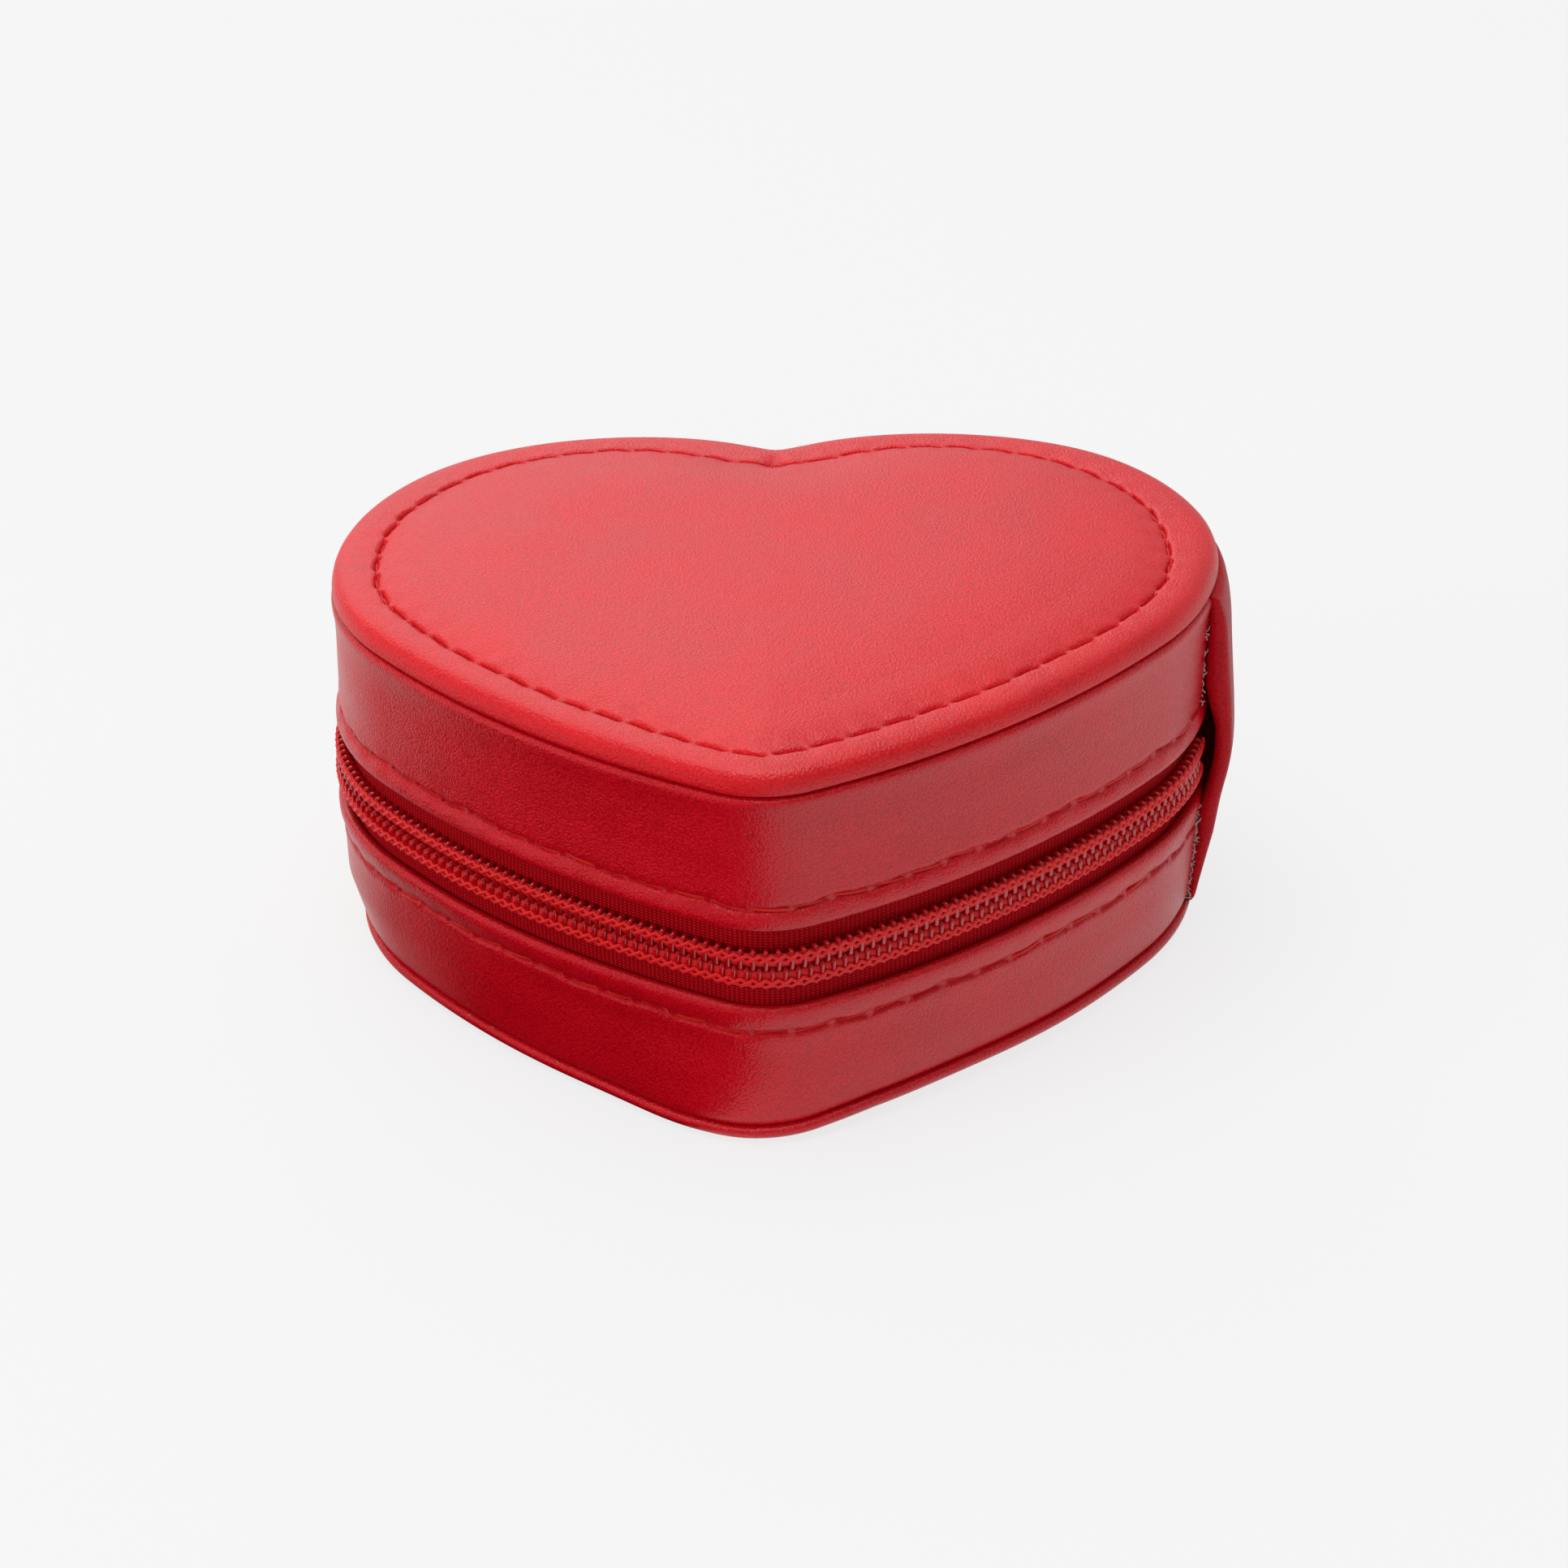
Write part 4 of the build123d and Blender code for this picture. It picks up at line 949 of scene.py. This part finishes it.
# Frayed backing: pale knitted backing of the cloth that shows as fuzz along cut edges.
# The stitch row's tree lays the fibres, close and uneven, at the strip's front edge and the sole's lip.
BACKING = mottled_finish(
    "pale_backing", (0.40, 0.16, 0.15), (0.58, 0.40, 0.39), (0.8, 1.0), {"Scale": 2600.0, "Detail": 3.0}
)
FUZZ = {
    "Stitches": 46, "Stitch Length": 0.0008, "Thread Radius": 0.00008, "Bow": 0.0002, "Dive": 0.0002,
    "Slant": 0.0, "Wander": 1.5, "Sink": -0.0007, "Seed": 5, "Thread": BACKING,
}
CUT_EDGE = -14.3
cut_edge = math.radians(CUT_EDGE)
for half, low, high, fibre, count in (("base", 3.2, 16.6, 0.0015, 90), ("lid", 29.6, 42.6, 0.0007, 46)):
    levels = np.linspace(low, high, 80)
    reach = LOBE_RADIUS + 0.3 + 0.1 * np.sin(levels * 2.3) + lean(np.full(80, lobe_spot(CUT_EDGE)), levels)
    across = 0.08 * np.sin(levels * 3.1) + 0.06 * np.sin(levels * 7.3 + 1)
    spots = np.column_stack([
        LOBE_SPREAD + reach * math.cos(cut_edge), LOBE_Y + reach * math.sin(cut_edge) + across, levels,
    ]) * MM
    out = np.tile((math.cos(cut_edge) * 0.5, math.sin(cut_edge) * 0.5 - 0.7, 0.0), (80, 1))
    fray = sewn(f"frayed_backing_{half}", seam_line(spots, out, False), STITCH_ROW, {
        **FUZZ, "Stitches": count, "Stitch Length": fibre,
    })
    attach(fray, half)
lip = walk_heart(300, 2 * NOTCH_SPOT - lobe_spot(-20), TIP_SPOT - 3, whole=False)
lip_out = outwards(lip) + (0, 0, 1)
sole_fray = sewn("frayed_backing_sole", seam_line(soft_row(lip, -0.02, 1.52), lip_out, False), STITCH_ROW, {
    **FUZZ, "Stitches": 260, "Stitch Length": 0.0006, "Thread Radius": 0.00005, "Bow": 0.0001, "Seed": 12,
})
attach(sole_fray, "base")

# Slider and pull: a die-cast zip slider with a bridge, and a tab that swings on it, plated light gold.
# The solids keep their shape; the plating is polished, with faint rub marks.
PLATING = mottled_finish(
    "gold_plating", (0.70, 0.44, 0.14), (0.86, 0.62, 0.27), (0.14, 0.34),
    {"Scale": 700.0, "Detail": 5.0, "Roughness": 0.65}, Metallic=1.0,
)
dress(PLATING, "zip_slider", "zip_pull")

# Floor: a plain pale sheet under the case, wide enough to fill the view, with a weak shadow from the lamps.
# To the left of the tip it throws no light back on the case, as beside a photographer's dark flag.
FLOOR_REACH, FLOOR_LEVEL = 6, -0.0002
floor_mesh = bpy.data.meshes.new("floor")
corners = [(x * FLOOR_REACH, y * FLOOR_REACH, FLOOR_LEVEL) for x, y in ((-1, -1), (1, -1), (1, 1), (-1, 1))]
floor_mesh.from_pydata(corners, [], [(0, 1, 2, 3)])
floor = stand("floor", floor_mesh)
pale, tree, shader = new_finish("pale_floor")
tree.nodes.remove(shader)


def mixed(tree, *parts):
    """Mix of two shaders by a varying share."""
    node = add(tree, "ShaderNodeMixShader")
    for part, socket in zip(parts, node.inputs):
        feed(tree, socket, part)
    return node


path = add(tree, "ShaderNodeLightPath").outputs
lit = add(tree, "ShaderNodeBsdfDiffuse", Color=(0.88, 0.88, 0.88, 1))
plain = add(tree, "ShaderNodeEmission", Color=(0.913, 0.913, 0.913, 1), Strength=1.0)
none = add(tree, "ShaderNodeEmission", Color=(0, 0, 0, 1), Strength=0.0)
seen = maths(tree, "ADD", path["Is Camera Ray"], path["Is Glossy Ray"])
seen = maths(tree, "ADD", seen, path["Is Transmission Ray"], use_clamp=True)
sheet = mixed(tree, maths(tree, "MULTIPLY", seen, 0.85), lit, plain)
split = add(tree, "ShaderNodeSeparateXYZ", Vector=add(tree, "ShaderNodeTexCoord").outputs["Object"])
x, y = split.outputs["X"], split.outputs["Y"]
beside = value_range(tree, maths(tree, "MULTIPLY_ADD", y, 0.14, x), 1.0, 0.0, -0.0157, -0.0127)
before = value_range(tree, maths(tree, "MULTIPLY_ADD", x, 0.418, y), 1.0, 0.0, -0.034, -0.018)
near_case = value_range(tree, x, 0.0, 1.0, -0.21, -0.15)
dark = maths(tree, "MULTIPLY", maths(tree, "MULTIPLY", beside, before), near_case)
dark = maths(tree, "MULTIPLY", dark, maths(tree, "SUBTRACT", 1.0, path["Is Camera Ray"]))
fill(tree, tree.nodes["Material Output"], Surface=mixed(tree, dark, sheet, none))
floor_mesh.materials.append(pale)

# Lamps: a large overhead softbox, one behind to the left for the sheen of the top, and two weak fills.
# The room is lighter at the back than in front, so the rounded edges that face the viewer stay deep red.
world = bpy.data.worlds.new("room")
bpy.context.scene.world = world
world.use_nodes = True
tree = world.node_tree
split = add(tree, "ShaderNodeSeparateXYZ", Vector=add(tree, "ShaderNodeTexCoord").outputs["Generated"])
glow = value_range(tree, split.outputs["Y"], 0.08, 0.5, -0.45, 0.25)
fill(tree, tree.nodes["Background"], Color=(1, 1, 1, 1), Strength=glow)


def softbox(name, place, width, height, power, gloss=True):
    """Soft lamp that faces the case; one without gloss is seen only as soft fill."""
    lamp = bpy.data.lights.new(name, "AREA")
    lamp.shape = "RECTANGLE"
    lamp.size, lamp.size_y, lamp.energy = width, height, power
    holder = stand(name, lamp)
    facing = Vector((0, 0, 0.025)) - Vector(place)
    holder.matrix_world = Matrix.Translation(place) @ facing.to_track_quat("-Z", "Y").to_matrix().to_4x4()
    holder.visible_camera = False
    holder.visible_glossy = gloss


softbox("overhead", (-0.1, 0.0, 1.2), 0.9, 0.9, 8.4)
softbox("back_left", (-0.42, 1.05, 0.64), 1.1, 0.6, 3.6)
softbox("front_fill", (0.15, -1.0, 0.5), 0.9, 0.6, 2.8, gloss=False)
softbox("left_fill", (-1.05, -0.5, 0.4), 0.6, 0.5, 6.6, gloss=False)

# Camera: the photograph's view, about 30 degrees down on the tip of the heart.
# Its place and its lens were solved from the outline of the case.
DOWN, YAW, ROLL, DISTANCE = math.radians(30.39), math.radians(-1.66), math.radians(1.45), 0.4579
target = Vector((0, 0.03199, 0.002))
level_right = Vector((math.cos(YAW), -math.sin(YAW), 0))
ahead = Vector((math.sin(YAW), math.cos(YAW), 0))
upward = ahead * math.sin(DOWN) + Vector((0, 0, 1)) * math.cos(DOWN)
look = ahead * math.cos(DOWN) - Vector((0, 0, 1)) * math.sin(DOWN)
right = level_right * math.cos(ROLL) - upward * math.sin(ROLL)
top = level_right * math.sin(ROLL) + upward * math.cos(ROLL)
spot = target - look * DISTANCE
lens = bpy.data.cameras.new("camera")
lens.sensor_width, lens.lens = 36.0, 83.85
lens.clip_start = 0.01
camera = stand("camera", lens)
camera.matrix_world = Matrix.Translation(spot) @ Matrix((right, top, -look)).transposed().to_4x4()
bpy.context.scene.camera = camera
bpy.context.scene.view_settings.view_transform = "Standard"
